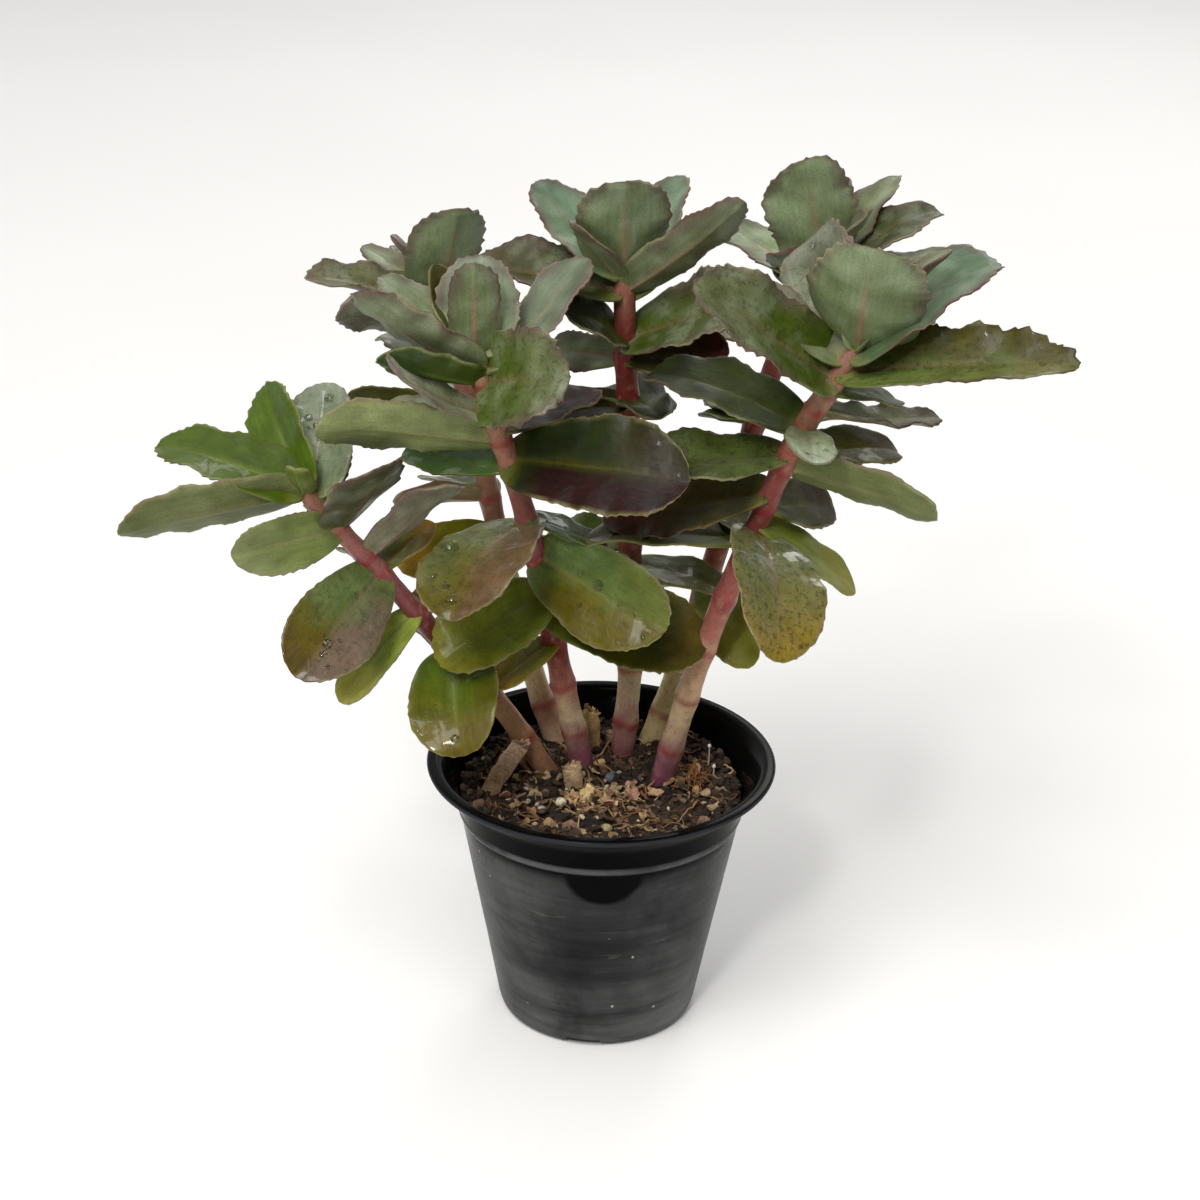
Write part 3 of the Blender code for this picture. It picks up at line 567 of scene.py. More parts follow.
def add_tube(shell, centres, radii, sides, paint, traits=(0.0, 0.0), wobble=None):
    """A closed bar with a pole at each end; paint is one colour or a matrix of them."""
    rings = tube_points(centres, radii, sides, wobble)
    rows = len(rings)
    first = np.mean(rings[0], axis=0)
    last = np.mean(rings[-1], axis=0)
    points = np.vstack([rings.reshape(-1, 3), [first, last]])
    faces = grid_faces(rows, sides, closed=True)
    start, end = rows * sides, rows * sides + 1
    for column in range(sides):
        beside = (column + 1) % sides
        faces.append((start, beside, column))
        faces.append((end, (rows - 1) * sides + column, (rows - 1) * sides + beside))
    paint = np.asarray(paint, float)
    if paint.ndim > 1:
        paint = paint.reshape(-1, 3)
        paint = np.vstack([paint, paint[0], paint[-1]])
    shell.add(points, faces, paint, traits)


def stem_nodes(stem):
    """The fractions of a stem's length where it swells: its bare nodes and those that bear leaves."""
    nodes = list(stem["bare_nodes"])
    for place in sorted(leaf[0] for leaf in stem["leaves"]):
        if place < ROSETTE_START and place - nodes[-1] > NODE_SPACING:
            nodes.append(place)
    return nodes


def bark_colour(stops, fraction):
    """The bark's linear colour at fractions of a stem's length, blended between the stops of its table."""
    stops = np.array(stops, float)
    colours = daylight(stops[:, 1:])
    return np.stack([np.interp(fraction, stops[:, 0], colours[:, c]) for c in range(3)], axis=-1)


def add_stem(shell, stem, route, shift):
    """The fleshy stem: swollen, ridged and reddened at its nodes, its colour changing up its length."""
    low, high = stem["radii"]
    steps = int(route.length / RING_STEP)
    fractions = np.linspace(0.0, 1.0, steps)
    centres = route.buried() + [route.at(f) for f in fractions]
    nodes = np.array(stem_nodes(stem))
    nearest = np.abs(fractions[:, None] - nodes[None, :]).min(axis=1) * route.length
    radii = low + (high - low) * fractions + NODE_SWELL * np.exp(-((nearest / NODE_LENGTH) ** 2))
    radii = radii + NODE_RIDGE * np.exp(-((nearest / RIDGE_LENGTH) ** 2))
    tip = np.interp(fractions, (TIP_START, 1.0), (radii[-1], TIP_RADIUS))
    radii = np.where(fractions > TIP_START, tip, radii)
    radii = np.concatenate([[low, low], radii])
    rings = tube_points(centres, radii, STEM_SIDES)
    wobble = 0.14 * noise_at(rings, 0.16, shift) + 0.06 * noise_at(rings, 0.7, shift)
    wobble[-2:] *= 0.3
    fractions = np.concatenate([[0.0, 0.0], fractions])
    nearest = np.concatenate([[9.0, 9.0], nearest])
    patch = noise_at(rings, 0.2, shift + 9)
    place = np.clip(fractions[:, None] + 0.04 * patch, 0, 1)
    # The pale stops low on the stems are the bark's own cream lightened further: a painted light against the
    # shade of the foliage
    paint = bark_colour(stem["bark"], place)
    ring = np.exp(-(((nearest[:, None] + 1.4 * patch) / 1.3) ** 2)) * 0.7
    paint = mix(paint, NODE_RED, ring)
    pale = smooth(0.25, 0.6, noise_at(rings, 0.45, shift + 30))
    paint = mix(paint, BARK_PALE, 0.3 * pale)
    paint = 0.22 * (paint / 0.22) ** 1.15 * np.array((0.92, 0.92, 1.02))
    paint = np.maximum(paint - 0.3 * GLOSS_VEIL, DARKEST)
    add_tube(shell, centres, radii, STEM_SIDES, paint, (0.35, 0.2), wobble)


# Places across a blade from -1 to 1, closer together at the midrib and at the margins
HALF_COLUMNS = np.array((0.06, 0.18, 0.36, 0.56, 0.74, 0.88, 0.965, 1))
COLUMNS = np.concatenate([-HALF_COLUMNS[::-1], [0.0], HALF_COLUMNS])


def blade_share(along, clasp):
    """The half width of a blade, as a share of its widest; clasp broadens its foot, which hugs the stem."""
    foot = along / FOOT_PLACE
    broad = BASE_SHARE * (1 - along) ** 1.5 + clasp * foot * np.exp(1 - foot)
    return broad + BELLY_SHARE * along**0.95 * (1 - along) ** 0.5


def teeth(distance, start, end, pitch, rng):
    """A saw of uneven teeth along the margin, which lean towards the tip, from -0.4 to about 0.85."""
    marks = [start]
    while marks[-1] < end:
        marks.append(marks[-1] + pitch * rng.uniform(0.6, 1.5))
    heights = [rng.uniform(0.35, 1.25) for _ in marks]
    saw = np.zeros_like(distance)
    for mark, after, height in zip(marks, marks[1:], heights):
        inside = (distance >= mark) & (distance < after)
        share = (distance - mark) / (after - mark)
        rise = np.clip(share / TOOTH_PEAK, 0, 1) ** 1.4
        fall = np.clip((1 - share) / (1 - TOOTH_PEAK), 0, 1)
        saw = np.where(inside, height * np.minimum(rise, fall), saw)
    return (saw - 0.4) * smooth(start, start + 0.6 * pitch, distance)


class Leaf:
    """One leaf's shape: a flat toothed outline that is bent, folded and rolled into place."""

    def __init__(self, entry, route, rng):
        place, azimuth, rise, length, width, curl, roll, cup, skin, *shade = entry
        self.length = length
        self.width = width
        self.skin = SKINS[skin]
        self.shade = shade[0] if shade else 1.0
        self.calm = self.skin.get("calm")
        self.bloom = BLOOM_SHARE if skin.startswith("wax") else 0.0
        self.clasp = ROSETTE_CLASP if place > CLASP_START else STEM_CLASP
        self.origin = np.array(route.at(place))
        pose = Euler((0, -math.radians(rise), math.radians(azimuth))).to_matrix()
        forward = pose @ Vector((1, 0, 0))
        upward = pose @ Vector((0, 0, 1))
        upward.rotate(Matrix.Rotation(math.radians(roll), 3, forward))
        self.forward = np.array(forward)
        self.upward = np.array(upward)
        self.fold = math.radians(cup) / 2
        self.twist = math.radians(rng.uniform(-12, 12))
        self.wave_phase = (rng.uniform(0, math.tau), rng.uniform(0, math.tau))
        self.wave_length = rng.uniform(13, 22)
        self.set_spine(math.radians(curl), rng)
        self.outline(rng)

    def set_spine(self, bend, rng):
        """The midrib's course: an even bend, with a foot and a tip that turn a little more or less."""
        self.steps = np.linspace(0, 1.1, SPINE_STEPS)
        tip = math.radians(rng.uniform(-6, 24))
        foot = math.radians(rng.uniform(-7, 7))
        self.turn = bend * self.steps + tip * smooth(0.55, 1.05, self.steps)
        self.turn = self.turn + foot * np.sin(math.pi * np.minimum(self.steps, 1))
        between = (self.turn[1:] + self.turn[:-1]) / 2
        stride = self.length * self.steps[1]
        self.reach = np.concatenate([[0], np.cumsum(np.cos(between) * stride)])
        self.drop = np.concatenate([[0], np.cumsum(np.sin(between) * stride)])

    def outline(self, rng):
        """Rows evenly spaced along the margin, and how far each tooth pushes the margin out."""
        along = 1 - np.linspace(1, 0, OUTLINE_STEPS) ** 2
        along = along * TIP_END
        half = 0.5 * self.width * blade_share(along, self.clasp)
        reach = np.hypot(np.diff(along * self.length), np.diff(half))
        distance = np.concatenate([[0], np.cumsum(reach)])
        count = max(FEWEST_ROWS, int(distance[-1] / MARGIN_STEP))
        spaced = np.linspace(0, distance[-1], count)
        self.along = np.interp(spaced, distance, along)
        self.half = 0.5 * self.width * blade_share(self.along, self.clasp)
        slope = unit(np.stack([np.gradient(self.along * self.length), np.gradient(self.half)], axis=-1))
        self.out = np.stack([-slope[:, 1], slope[:, 0]], axis=-1)
        start = np.interp(TOOTH_START, along, distance)
        pitch = 2.5 + 0.04 * self.width
        depth = TOOTH_DEPTH * self.width * self.skin["teeth"]
        self.saw = [depth * teeth(spaced, start, distance[-1], pitch, rng) for _ in range(2)]
        if self.calm:
            self.saw[0 if self.calm < 0 else 1] *= CALM_SHARE
        sways = [(rng.uniform(4, 9), rng.uniform(0, math.tau)) for _ in range(2)]
        self.sway = [0.05 * np.sin(self.along * pace + phase) for pace, phase in sways]

    def bent(self, ahead_mm, across_mm, lift_mm):
        """Points of the flat blade in their place in space."""
        share = ahead_mm / self.length
        turn, reach, drop = (
            np.interp(share, self.steps, values)[..., None] for values in (self.turn, self.reach, self.drop)
        )
        ahead = self.forward * np.cos(turn) - self.upward * np.sin(turn)
        above = self.upward * np.cos(turn) + self.forward * np.sin(turn)
        side = np.cross(above, ahead)
        spun = self.twist * share[..., None]
        level = side * np.cos(spun) + above * np.sin(spun)
        rising = above * np.cos(spun) - side * np.sin(spun)
        spine = self.forward * reach - self.upward * drop
        return self.origin + spine + level * across_mm[..., None] + rising * lift_mm[..., None]

    def middle(self, along, half, out, saw, column):
        """How far ahead, across and up the mid surface lies at columns of the blade, from -1 to 1 across."""
        share = np.abs(column)
        sign = np.sign(column)
        push = saw * share**8
        flat = half * share + out[..., 1] * push
        ahead = along * self.length + out[..., 0] * push
        lift = half * math.sin(self.fold) * share**1.45
        wave = self.skin["wave"] * smooth(0.15, 0.5, along) * share**2 * np.minimum(1, half / 8)
        if self.calm:
            wave = np.where(sign == self.calm, CALM_SHARE * wave, wave)
        phase = np.where(sign < 0, self.wave_phase[0], self.wave_phase[1])
        lift = lift + wave * 1.1 * np.sin(along * self.length * math.tau / self.wave_length + phase)
        lift = lift - 0.45 * np.exp(-((share / 0.09) ** 2)) * smooth(0.0, 0.1, along) * (1 - along)
        return ahead, sign * flat * math.cos(self.fold), lift

    def surface(self, along, column):
        """A point of the mid surface and the direction that it faces."""

        def spot(along, column):
            along = np.array([along])
            half = 0.5 * self.width * blade_share(along, self.clasp)
            flat = np.zeros((1, 2))
            return self.bent(*self.middle(along, half, flat, 0.0, np.array([column])))[0]

        here = spot(along, column)
        facing = np.cross(spot(along + 0.01, column) - here, spot(along, column + 0.02) - here)
        return here, unit(facing)

    def add_to(self, shell, number):
        """Both faces of the blade and the rim between them, painted; number sets its noise apart."""
        rows, columns = len(self.along), len(COLUMNS)
        column = np.broadcast_to(COLUMNS, (rows, columns))
        along = np.broadcast_to(self.along[:, None], (rows, columns))
        half = self.half[:, None] * (1 + np.where(column < 0, self.sway[0][:, None], self.sway[1][:, None]))
        out = np.broadcast_to(self.out[:, None, :], (rows, columns, 2))
        saw = np.where(column < 0, self.saw[0][:, None], self.saw[1][:, None])
        ahead, across, lift = self.middle(along, half, out, saw, column)
        share = np.abs(column)
        thick = RIM_THICKNESS + (1 - RIM_THICKNESS) * np.sqrt(np.clip(1 - share**2.5, 0, 1))
        thick = thick * (1.0 + 0.25 * (1 - smooth(0.0, 0.25, along)))
        thick = thick * np.clip(TIP_THICKNESS + (1 - TIP_THICKNESS) * (1 - along) / 0.06, TIP_THICKNESS, 1)
        rib = 0.35 * np.exp(-((share / 0.08) ** 2)) * (1 - along)
        top = self.bent(ahead, across, lift + HALF_THICKNESS * thick)
        bottom = self.bent(ahead, across, lift - HALF_THICKNESS * thick - rib)
        total = rows * columns
        faces = grid_faces(rows, columns) + grid_faces(rows, columns, start=total, flip=True)
        border = [row * columns for row in range(rows)]
        border += [(rows - 1) * columns + c for c in range(1, columns)]
        border += [row * columns + columns - 1 for row in range(rows - 2, -1, -1)]
        border += list(range(columns - 2, 0, -1))
        for a, b in zip(border, border[1:] + border[:1]):
            faces.append((a, b, b + total, a + total))
        grain = np.stack([ahead, across, np.full_like(ahead, 50.0 * number)], axis=-1)
        grain = np.stack([grain, grain + 11.0])
        below = (False, True)
        paint = np.stack([self.painted(along, column, half, ahead, across, number, low) for low in below])
        traits = [np.full((total, 2), self.traits(low)) for low in below]
        shell.add(np.stack([top, bottom]), faces, paint, traits, grain)

    def traits(self, below):
        """How wet and how speckled the upper or the lower face is."""
        return np.array((self.skin["wet"], self.skin["speck"])) * (0.5 if below else 1.0)

    def painted(self, along, column, half, ahead, across, number, below):
        """The colour of each point of the upper or the lower face."""
        skin = self.skin
        flat = np.stack([ahead, across, np.full_like(ahead, 7.3 * number)], axis=-1)
        cloud = noise_at(flat, 0.07, 3.0 if below else 0.0)
        fine = noise_at(flat * np.array([0.5, 1.0, 1.0]), 0.35, 5.0)
        share = np.abs(column)
        near, far, rim, rib, under = (daylight(skin[key]) for key in ("near", "far", "rim", "rib", "under"))
        if below:
            paint = mix(under, 0.5 * under + 0.5 * far, smooth(0.4, 1.0, along + 0.4 * cloud))
        else:
            paint = mix(near, far, smooth(0.25, 0.95, along + 0.35 * cloud))
            if "half" in skin:
                side, tone = skin["half"]
                on_side = smooth(-0.1, 0.35, side * column + 0.3 * cloud + 0.1 * fine)
                paint = mix(paint, daylight(tone), 0.85 * on_side * smooth(0.05, 0.3, along))
        patch = noise_at(flat, 0.17, 21.0)
        # Painted light and shade, partly the leaf's own tone: the brightness from the table lightens leaves
        # that lie in the shade of others and darkens those that face the lamps
        paint = paint * self.shade * (1 + 0.2 * fine + 0.2 * cloud + 0.2 * patch)[..., None]
        waxy = self.bloom * smooth(-0.1, 0.5, patch - 0.5 * fine)
        paint = mix(paint, 0.45 * paint + 0.55 * WAX_BLOOM, waxy)
        from_rim = (1 - share) * half
        flush = smooth(5.0, 0.3, from_rim + 3.0 * patch) * smooth(0.15, 0.5, along)
        paint = mix(paint, DUSKY, 1.5 * self.bloom * flush)
        line = np.exp(-((share * half / 0.9) ** 2)) * smooth(1.0, 0.25, along)
        paint = mix(paint, rib, 0.75 * line)
        edge = smooth(0.8, 0.1, from_rim - 0.3 * fine) * smooth(0.12, 0.3, along)
        rim = mix(rim, PALE_RIM, 0.8 * smooth(-0.1, 0.3, cloud))
        paint = mix(paint, rim, 0.8 * edge)
        base = smooth(0.13, 0.02, along)
        paint = mix(paint, PALE_FOOT, 0.6 * base)
        return np.maximum(paint - GLOSS_VEIL, DARKEST)


class Tree:
    """Short hand for building a node tree."""

    def __init__(self, owner):
        owner.use_nodes = True
        self.tree = owner.node_tree

    def node(self, kind, settings=None, **inputs):
        """A new node with its settings, and its inputs by name, with an underscore for a space."""
        made = self.tree.nodes.new(kind)
        for key, value in (settings or {}).items():
            setattr(made, key, value)
        for key, value in inputs.items():
            self.plug(made.inputs[key.replace("_", " ")], value)
        return made

    def plug(self, socket, value):
        """Links another node's output to a socket, or sets the socket to a plain value."""
        if isinstance(value, bpy.types.NodeSocket):
            self.tree.links.new(value, socket)
        else:
            socket.default_value = value

    def attribute(self, name):
        return self.node("ShaderNodeAttribute", {"attribute_name": name})

    def place(self, scale=(1, 1, 1)):
        """Object coordinates, stretched by a scale for each axis."""
        source = self.node("ShaderNodeTexCoord").outputs["Object"]
        return self.node("ShaderNodeMapping", Vector=source, Scale=scale).outputs["Vector"]

    def noise(self, vector, scale, detail=2.0, rough=0.5, distortion=0.0):
        """Fractal noise from 0 to 1."""
        return self.node(
            "ShaderNodeTexNoise",
            Vector=vector,
            Scale=scale,
            Detail=detail,
            Roughness=rough,
            Distortion=distortion,
        ).outputs["Fac"]

    def ramp(self, value, low, high, to_low=0.0, to_high=1.0):
        """A straight ramp between two values, held level beyond them."""
        ends = {"From_Min": low, "From_Max": high, "To_Min": to_low, "To_Max": to_high}
        return self.node("ShaderNodeMapRange", Value=value, **ends).outputs["Result"]

    def maths(self, operation, first, second=0.0):
        made = self.node("ShaderNodeMath", {"operation": operation})
        self.plug(made.inputs[0], first)
        self.plug(made.inputs[1], second)
        return made.outputs["Value"]

    def times(self, first, *others):
        """The product of two or more values."""
        for other in others:
            first = self.maths("MULTIPLY", first, other)
        return first

    def plus(self, first, second):
        return self.maths("ADD", first, second)

    def voronoi(self, vector, scale):
        """The distance to the nearest of many scattered points."""
        made = self.node("ShaderNodeTexVoronoi", {"feature": "F1"}, Vector=vector, Scale=scale)
        return made.outputs["Distance"]

    def shaded(self, tone, share, pattern, dark, light):
        """A colour multiplied by greys that a pattern leads from dark to light."""
        greys = self.mix(self.ramp(pattern, 0.3, 0.7), (dark,) * 3, (light,) * 3)
        return self.mix(share, tone, greys, "MULTIPLY")

    def mix(self, share, first, second, blend="MIX"):
        """Two colours blended by a share; a plain colour is three linear values."""
        made = self.node("ShaderNodeMix", {"data_type": "RGBA", "blend_type": blend})
        self.plug(made.inputs["Factor"], share)
        for socket, value in ((made.inputs[6], first), (made.inputs[7], second)):
            self.plug(socket, value if isinstance(value, bpy.types.NodeSocket) else (*value, 1.0))
        return made.outputs[2]

    def bump(self, height, strength, distance, normal=None):
        made = self.node("ShaderNodeBump", Height=height, Strength=strength, Distance=distance)
        if normal:
            self.plug(made.inputs["Normal"], normal)
        return made.outputs["Normal"]


class Net(Tree):
    """A node material round one shader."""

    def __init__(self, name, roughness=0.5):
        self.material = bpy.data.materials.new(name)
        super().__init__(self.material)
        self.shader = self.tree.nodes["Principled BSDF"]
        self.fixed(Roughness=roughness)

    def fixed(self, **values):
        """Sets inputs of the shader that are the same all over."""
        for key, value in values.items():
            self.shader.inputs[key.replace("_", " ")].default_value = value

    def finish(self, colour=None, roughness=None, normal=None):
        """Joins what varies to the shader and gives the material."""
        for key, value in (("Base Color", colour), ("Roughness", roughness), ("Normal", normal)):
            if value is not None:
                self.plug(self.shader.inputs[key], value)
        return self.material


# How rough the skin is under a film of water, and how strongly water bends light
FILM_ROUGHNESS = 0.3
WATER_IOR = 1.33

# On the pot, in metres: the top of its dust-hazed side, and there a painted dark reflection: a patch kept
# free of dust, a ball squashed in height
SIDE_TOP = 0.0725
DARK_REFLECTION_PLACE = (0.0015, -0.046)
DARK_REFLECTION_RADIUS = 0.0135
DARK_REFLECTION_SQUASH = 1.1


def leaf_material():
    """Painted skin with streaks along the blade, fine pores, dark blotches and dots, and films of water."""
    net = Net("sedum_skin")
    paint = net.attribute("paint").outputs["Color"]
    traits = net.node("ShaderNodeSeparateColor", Color=net.attribute("traits").outputs["Color"])
    wet, speck = traits.outputs["Red"], traits.outputs["Green"]
    grain = net.attribute("grain").outputs["Vector"]
    streak_place = net.node("ShaderNodeMapping", Vector=grain, Scale=(0.12, 0.75, 0.1)).outputs["Vector"]
    streak = net.noise(streak_place, 1.0, 3.0)
    pore = net.noise(grain, 2.6, 3.0, 0.6)
    tone = net.shaded(paint, 0.26, streak, 0.55, 1.35)
    tone = net.shaded(tone, 0.62, pore, 0.6, 1.32)
    blotch = net.noise(grain, 0.55, 4.0, 0.62, 0.4)
    tone = net.mix(net.times(net.ramp(blotch, 0.52, 0.62), speck), tone, (0.022, 0.02, 0.008))
    dot = net.ramp(net.voronoi(grain, 0.9), 0.16, 0.1)
    tone = net.mix(net.times(dot, speck, 0.8), tone, (0.03, 0.026, 0.012))
    film = net.times(net.ramp(net.noise(grain, 0.17, 3.0, 0.55, 0.8), 0.44, 0.54), wet)
    rough = net.node("ShaderNodeMix", {"data_type": "FLOAT"})
    net.plug(rough.inputs[0], film)
    net.plug(rough.inputs[2], net.ramp(pore, 0.25, 0.75, 0.42, 0.6))
    net.plug(rough.inputs[3], FILM_ROUGHNESS)
    net.plug(net.shader.inputs["Coat Weight"], film)
    relief = net.bump(net.plus(streak, net.times(pore, 0.6)), 0.3, 0.0003)
    ripple = net.times(net.noise(grain, 0.2, 1.0), film)
    relief = net.bump(ripple, 0.22, 0.0012, relief)
    dent = net.noise(grain, 0.11, 2.0)
    relief = net.bump(dent, 0.35, 0.0022, relief)
    net.fixed(Coat_Roughness=0.04, Coat_IOR=1.34, Specular_IOR_Level=0.22)
    net.fixed(Subsurface_Weight=0.06, Subsurface_Radius=(0.0012, 0.0018, 0.0006))
    return net.finish(tone, rough.outputs[0], relief)


def water_material():
    """Clear water with a faintly uneven surface."""
    net = Net("water", 0.02)
    net.fixed(Base_Color=(0.97, 1.0, 0.96, 1.0), Transmission_Weight=1.0, IOR=WATER_IOR)
    return net.finish(normal=net.bump(net.noise(net.place(), 700.0, 1.0), 0.08, 0.0002))


def plastic_material():
    """Glossy black plastic: a nearly dust-free collar over a side hazed by dust, with scuffs and pale specks.
    The haze grows towards the left and right edges as a painted reflection, a patch under the ridge kept free
    of dust is a painted dark reflection, and pale lines along the ridge and the lip are painted highlights.
    """
    net = Net("black_plastic")
    still = net.place()
    cloud = net.noise(still, 30.0, 5.0, 0.62, 0.4)
    smear = net.noise(net.place((9, 9, 95)), 1.0, 5.0, 0.65, 0.3)
    scuff = net.noise(net.place((38, 38, 260)), 1.0, 3.0, 0.6, 1.2)
    parts = net.node("ShaderNodeSeparateXYZ", Vector=still)
    height = parts.outputs["Z"]
    side = net.ramp(height, SIDE_TOP, SIDE_TOP - 0.0035)
    low = net.ramp(height, 0.03, 0.006)
    across = net.maths("ABSOLUTE", parts.outputs["X"])
    # Painted reflection: the dust haze grows from the middle towards the left and right edges, standing for
    # the bright surroundings mirrored at the glossy sides
    spread = net.ramp(across, 0.008, 0.04, 0.4, 1.5)
    haze = net.times(net.ramp(smear, 0.3, 0.72, 0.25, 1.0), net.ramp(cloud, 0.3, 0.66, 0.3, 1.0))
    dust_and_edge_light = net.plus(net.times(side, 0.38, spread), net.times(low, 0.5))
    # A painted dark reflection: a patch at the front under the ridge kept free of dust and scuffs, so it
    # stays black
    dark_reflection = net.node("ShaderNodeVectorMath", {"operation": "DISTANCE"})
    net.plug(dark_reflection.inputs[0], net.place((1, 1, DARK_REFLECTION_SQUASH)))
    net.plug(dark_reflection.inputs[1], (*DARK_REFLECTION_PLACE, SIDE_TOP * DARK_REFLECTION_SQUASH))
    frayed = net.plus(dark_reflection.outputs["Value"], net.times(smear, 0.004))
    outside_dark_reflection = net.ramp(frayed, DARK_REFLECTION_RADIUS, DARK_REFLECTION_RADIUS + 0.002)
    dust_and_painted_light = net.times(haze, net.plus(0.012, dust_and_edge_light), outside_dark_reflection)
    tone = net.mix(dust_and_painted_light, (0.0012, 0.0013, 0.0015), (0.27, 0.28, 0.275))
    rubbed = net.times(net.ramp(scuff, 0.64, 0.72), net.ramp(cloud, 0.42, 0.6, 0.0, 0.28), side, outside_dark_reflection)
    tone = net.mix(rubbed, tone, (0.2, 0.205, 0.2))
    # A painted highlight: a pale line along the ridge
    ridge_highlight = net.times(net.ramp(height, 0.0732, 0.0742), net.ramp(height, 0.0762, 0.0752))
    ridge_highlight = net.times(ridge_highlight, net.ramp(cloud, 0.35, 0.6, 0.3, 1.0), 0.4)
    tone = net.mix(ridge_highlight, tone, (0.24, 0.25, 0.25))
    # A painted highlight: a thin pale bluish line along the lip's outer edge
    from_axis = net.node("ShaderNodeVectorMath", {"operation": "LENGTH"})
    net.plug(from_axis.inputs[0], net.place((1, 1, 0)))
    lip_highlight = net.times(net.ramp(from_axis.outputs["Value"], 0.0569, 0.0573), 0.12)
    tone = net.mix(lip_highlight, tone, (0.2, 0.21, 0.24))
    dot = net.ramp(net.voronoi(still, 95.0), 0.085, 0.06)
    few = net.ramp(net.noise(still, 40.0, 1.0), 0.54, 0.58)
    tone = net.mix(net.times(dot, few, side), tone, (0.66, 0.65, 0.6))
    rough = net.plus(net.ramp(cloud, 0.3, 0.75, 0.09, 0.2), net.times(dust_and_painted_light, 0.8))
    relief = net.bump(net.noise(still, 420.0, 2.0), 0.1, 0.0002)
    relief = net.bump(net.noise(net.place((26, 26, 14)), 1.0, 1.0), 0.25, 0.0012, relief)
    net.fixed(Specular_IOR_Level=0.03)
    return net.finish(tone, rough, relief)


def painted_material(name, pore_scale, strength, rough, shade=(0.55, 1.4)):
    """Matt paint from the mesh, broken up by two sizes of noise.

    Rough is its least and its greatest roughness, and shade its darkest and its lightest grey.
    """
    net = Net(name)
    paint = net.attribute("paint").outputs["Color"]
    place = net.place()
    coarse = net.noise(place, pore_scale, 4.0, 0.65)
    fine = net.noise(place, pore_scale * 4, 3.0, 0.6)
    tone = net.shaded(paint, 0.85, coarse, *shade)
    tone = net.shaded(tone, 0.5, fine, 0.6, 1.3)
    relief = net.bump(fine, strength, 0.0006)
    relief = net.bump(coarse, strength, 0.0015, relief)
    return net.finish(tone, net.ramp(coarse, 0.3, 0.7, *rough), relief)


# Pot shape in mm, as in the part, turned in finer steps
LIP_RADIUS = 57.5
LIP_THICKNESS = 2.0
LIP_ROUNDING = 0.8
POT_HEIGHT = 91.5
BASE_RADIUS = 33.4
HEEL_WIDTH = 2.9
HEEL_HEIGHT = 4.0
RIDGE_RADIUS = 46.4
RIDGE_HEIGHT = 73.7
RIDGE_DEPTH = 0.7
FLARE_WIDTH = 8.8
FLARE_HEIGHT = 8.5
WALL = 1.1
FLOOR = 3.6
FOOT_HEIGHT = 1.4
CORNER_ROUNDING = 1.2
POT_STEPS = 160

# Notches in the heel, each with a drain hole in the floor beside it, in mm
NOTCH_COUNT = 4
NOTCH_AZIMUTH = 262.5
NOTCH_SIZE = (20.0, 13.0, 5.2)
NOTCH_PLACE = 35.0
NOTCH_ROUNDING = 0.9
DRAIN_RADIUS = 3.0
DRAIN_LENGTH = 12.0
DRAIN_PLACE = 28.0

# Soil, in mm; the sides are pairs of radius and height from the crown down, inside the pot's wall
SOIL_LEVEL = 77.5
SOIL_RADIUS = 46.4
SOIL_SIDES = ((45.0, 73.0), (BASE_RADIUS - 1.4, 5.9), (BASE_RADIUS - 2.6, 3.9))
SOIL_RINGS = 60
SOIL_SPOKES = 160


def rounded(points, radius, steps=4):
    """The corners of an open profile rounded off by arcs of up to the given radius."""
    points = [np.array(p, float) for p in points]
    done = [points[0]]
    for before, corner, after in zip(points, points[1:], points[2:]):
        to_before, to_after = before - corner, after - corner
        reach = min(radius, 0.45 * np.linalg.norm(to_before), 0.45 * np.linalg.norm(to_after))
        start = corner + unit(to_before) * reach
        end = corner + unit(to_after) * reach
        for step in range(steps + 1):
            t = step / steps
            done.append(start * (1 - t) ** 2 + corner * 2 * t * (1 - t) + end * t**2)
    done.append(points[-1])
    return done


def turned_object(name, profile, steps, material):
    """A closed solid turned about Z from (radius, height) points in mm that start and end on the axis."""
    bm = bmesh.new()
    verts = [bm.verts.new((point[0] * MM, 0, point[1] * MM)) for point in profile]
    for a, b in zip(verts, verts[1:]):
        bm.edges.new((a, b))
    made = placed_mesh(name, bm)
    made.data.materials.append(material)
    screw = made.modifiers.new("turn", "SCREW")
    screw.steps = steps
    screw.render_steps = steps
    screw.use_merge_vertices = True
    screw.merge_threshold = 0.00001
    apply_modifiers(made)
    return made


def apply_modifiers(target):
    """Makes the shape that an object's modifiers give its own mesh."""
    graph = bpy.context.evaluated_depsgraph_get()
    mesh = bpy.data.meshes.new_from_object(target.evaluated_get(graph), depsgraph=graph)
    target.modifiers.clear()
    target.data = mesh


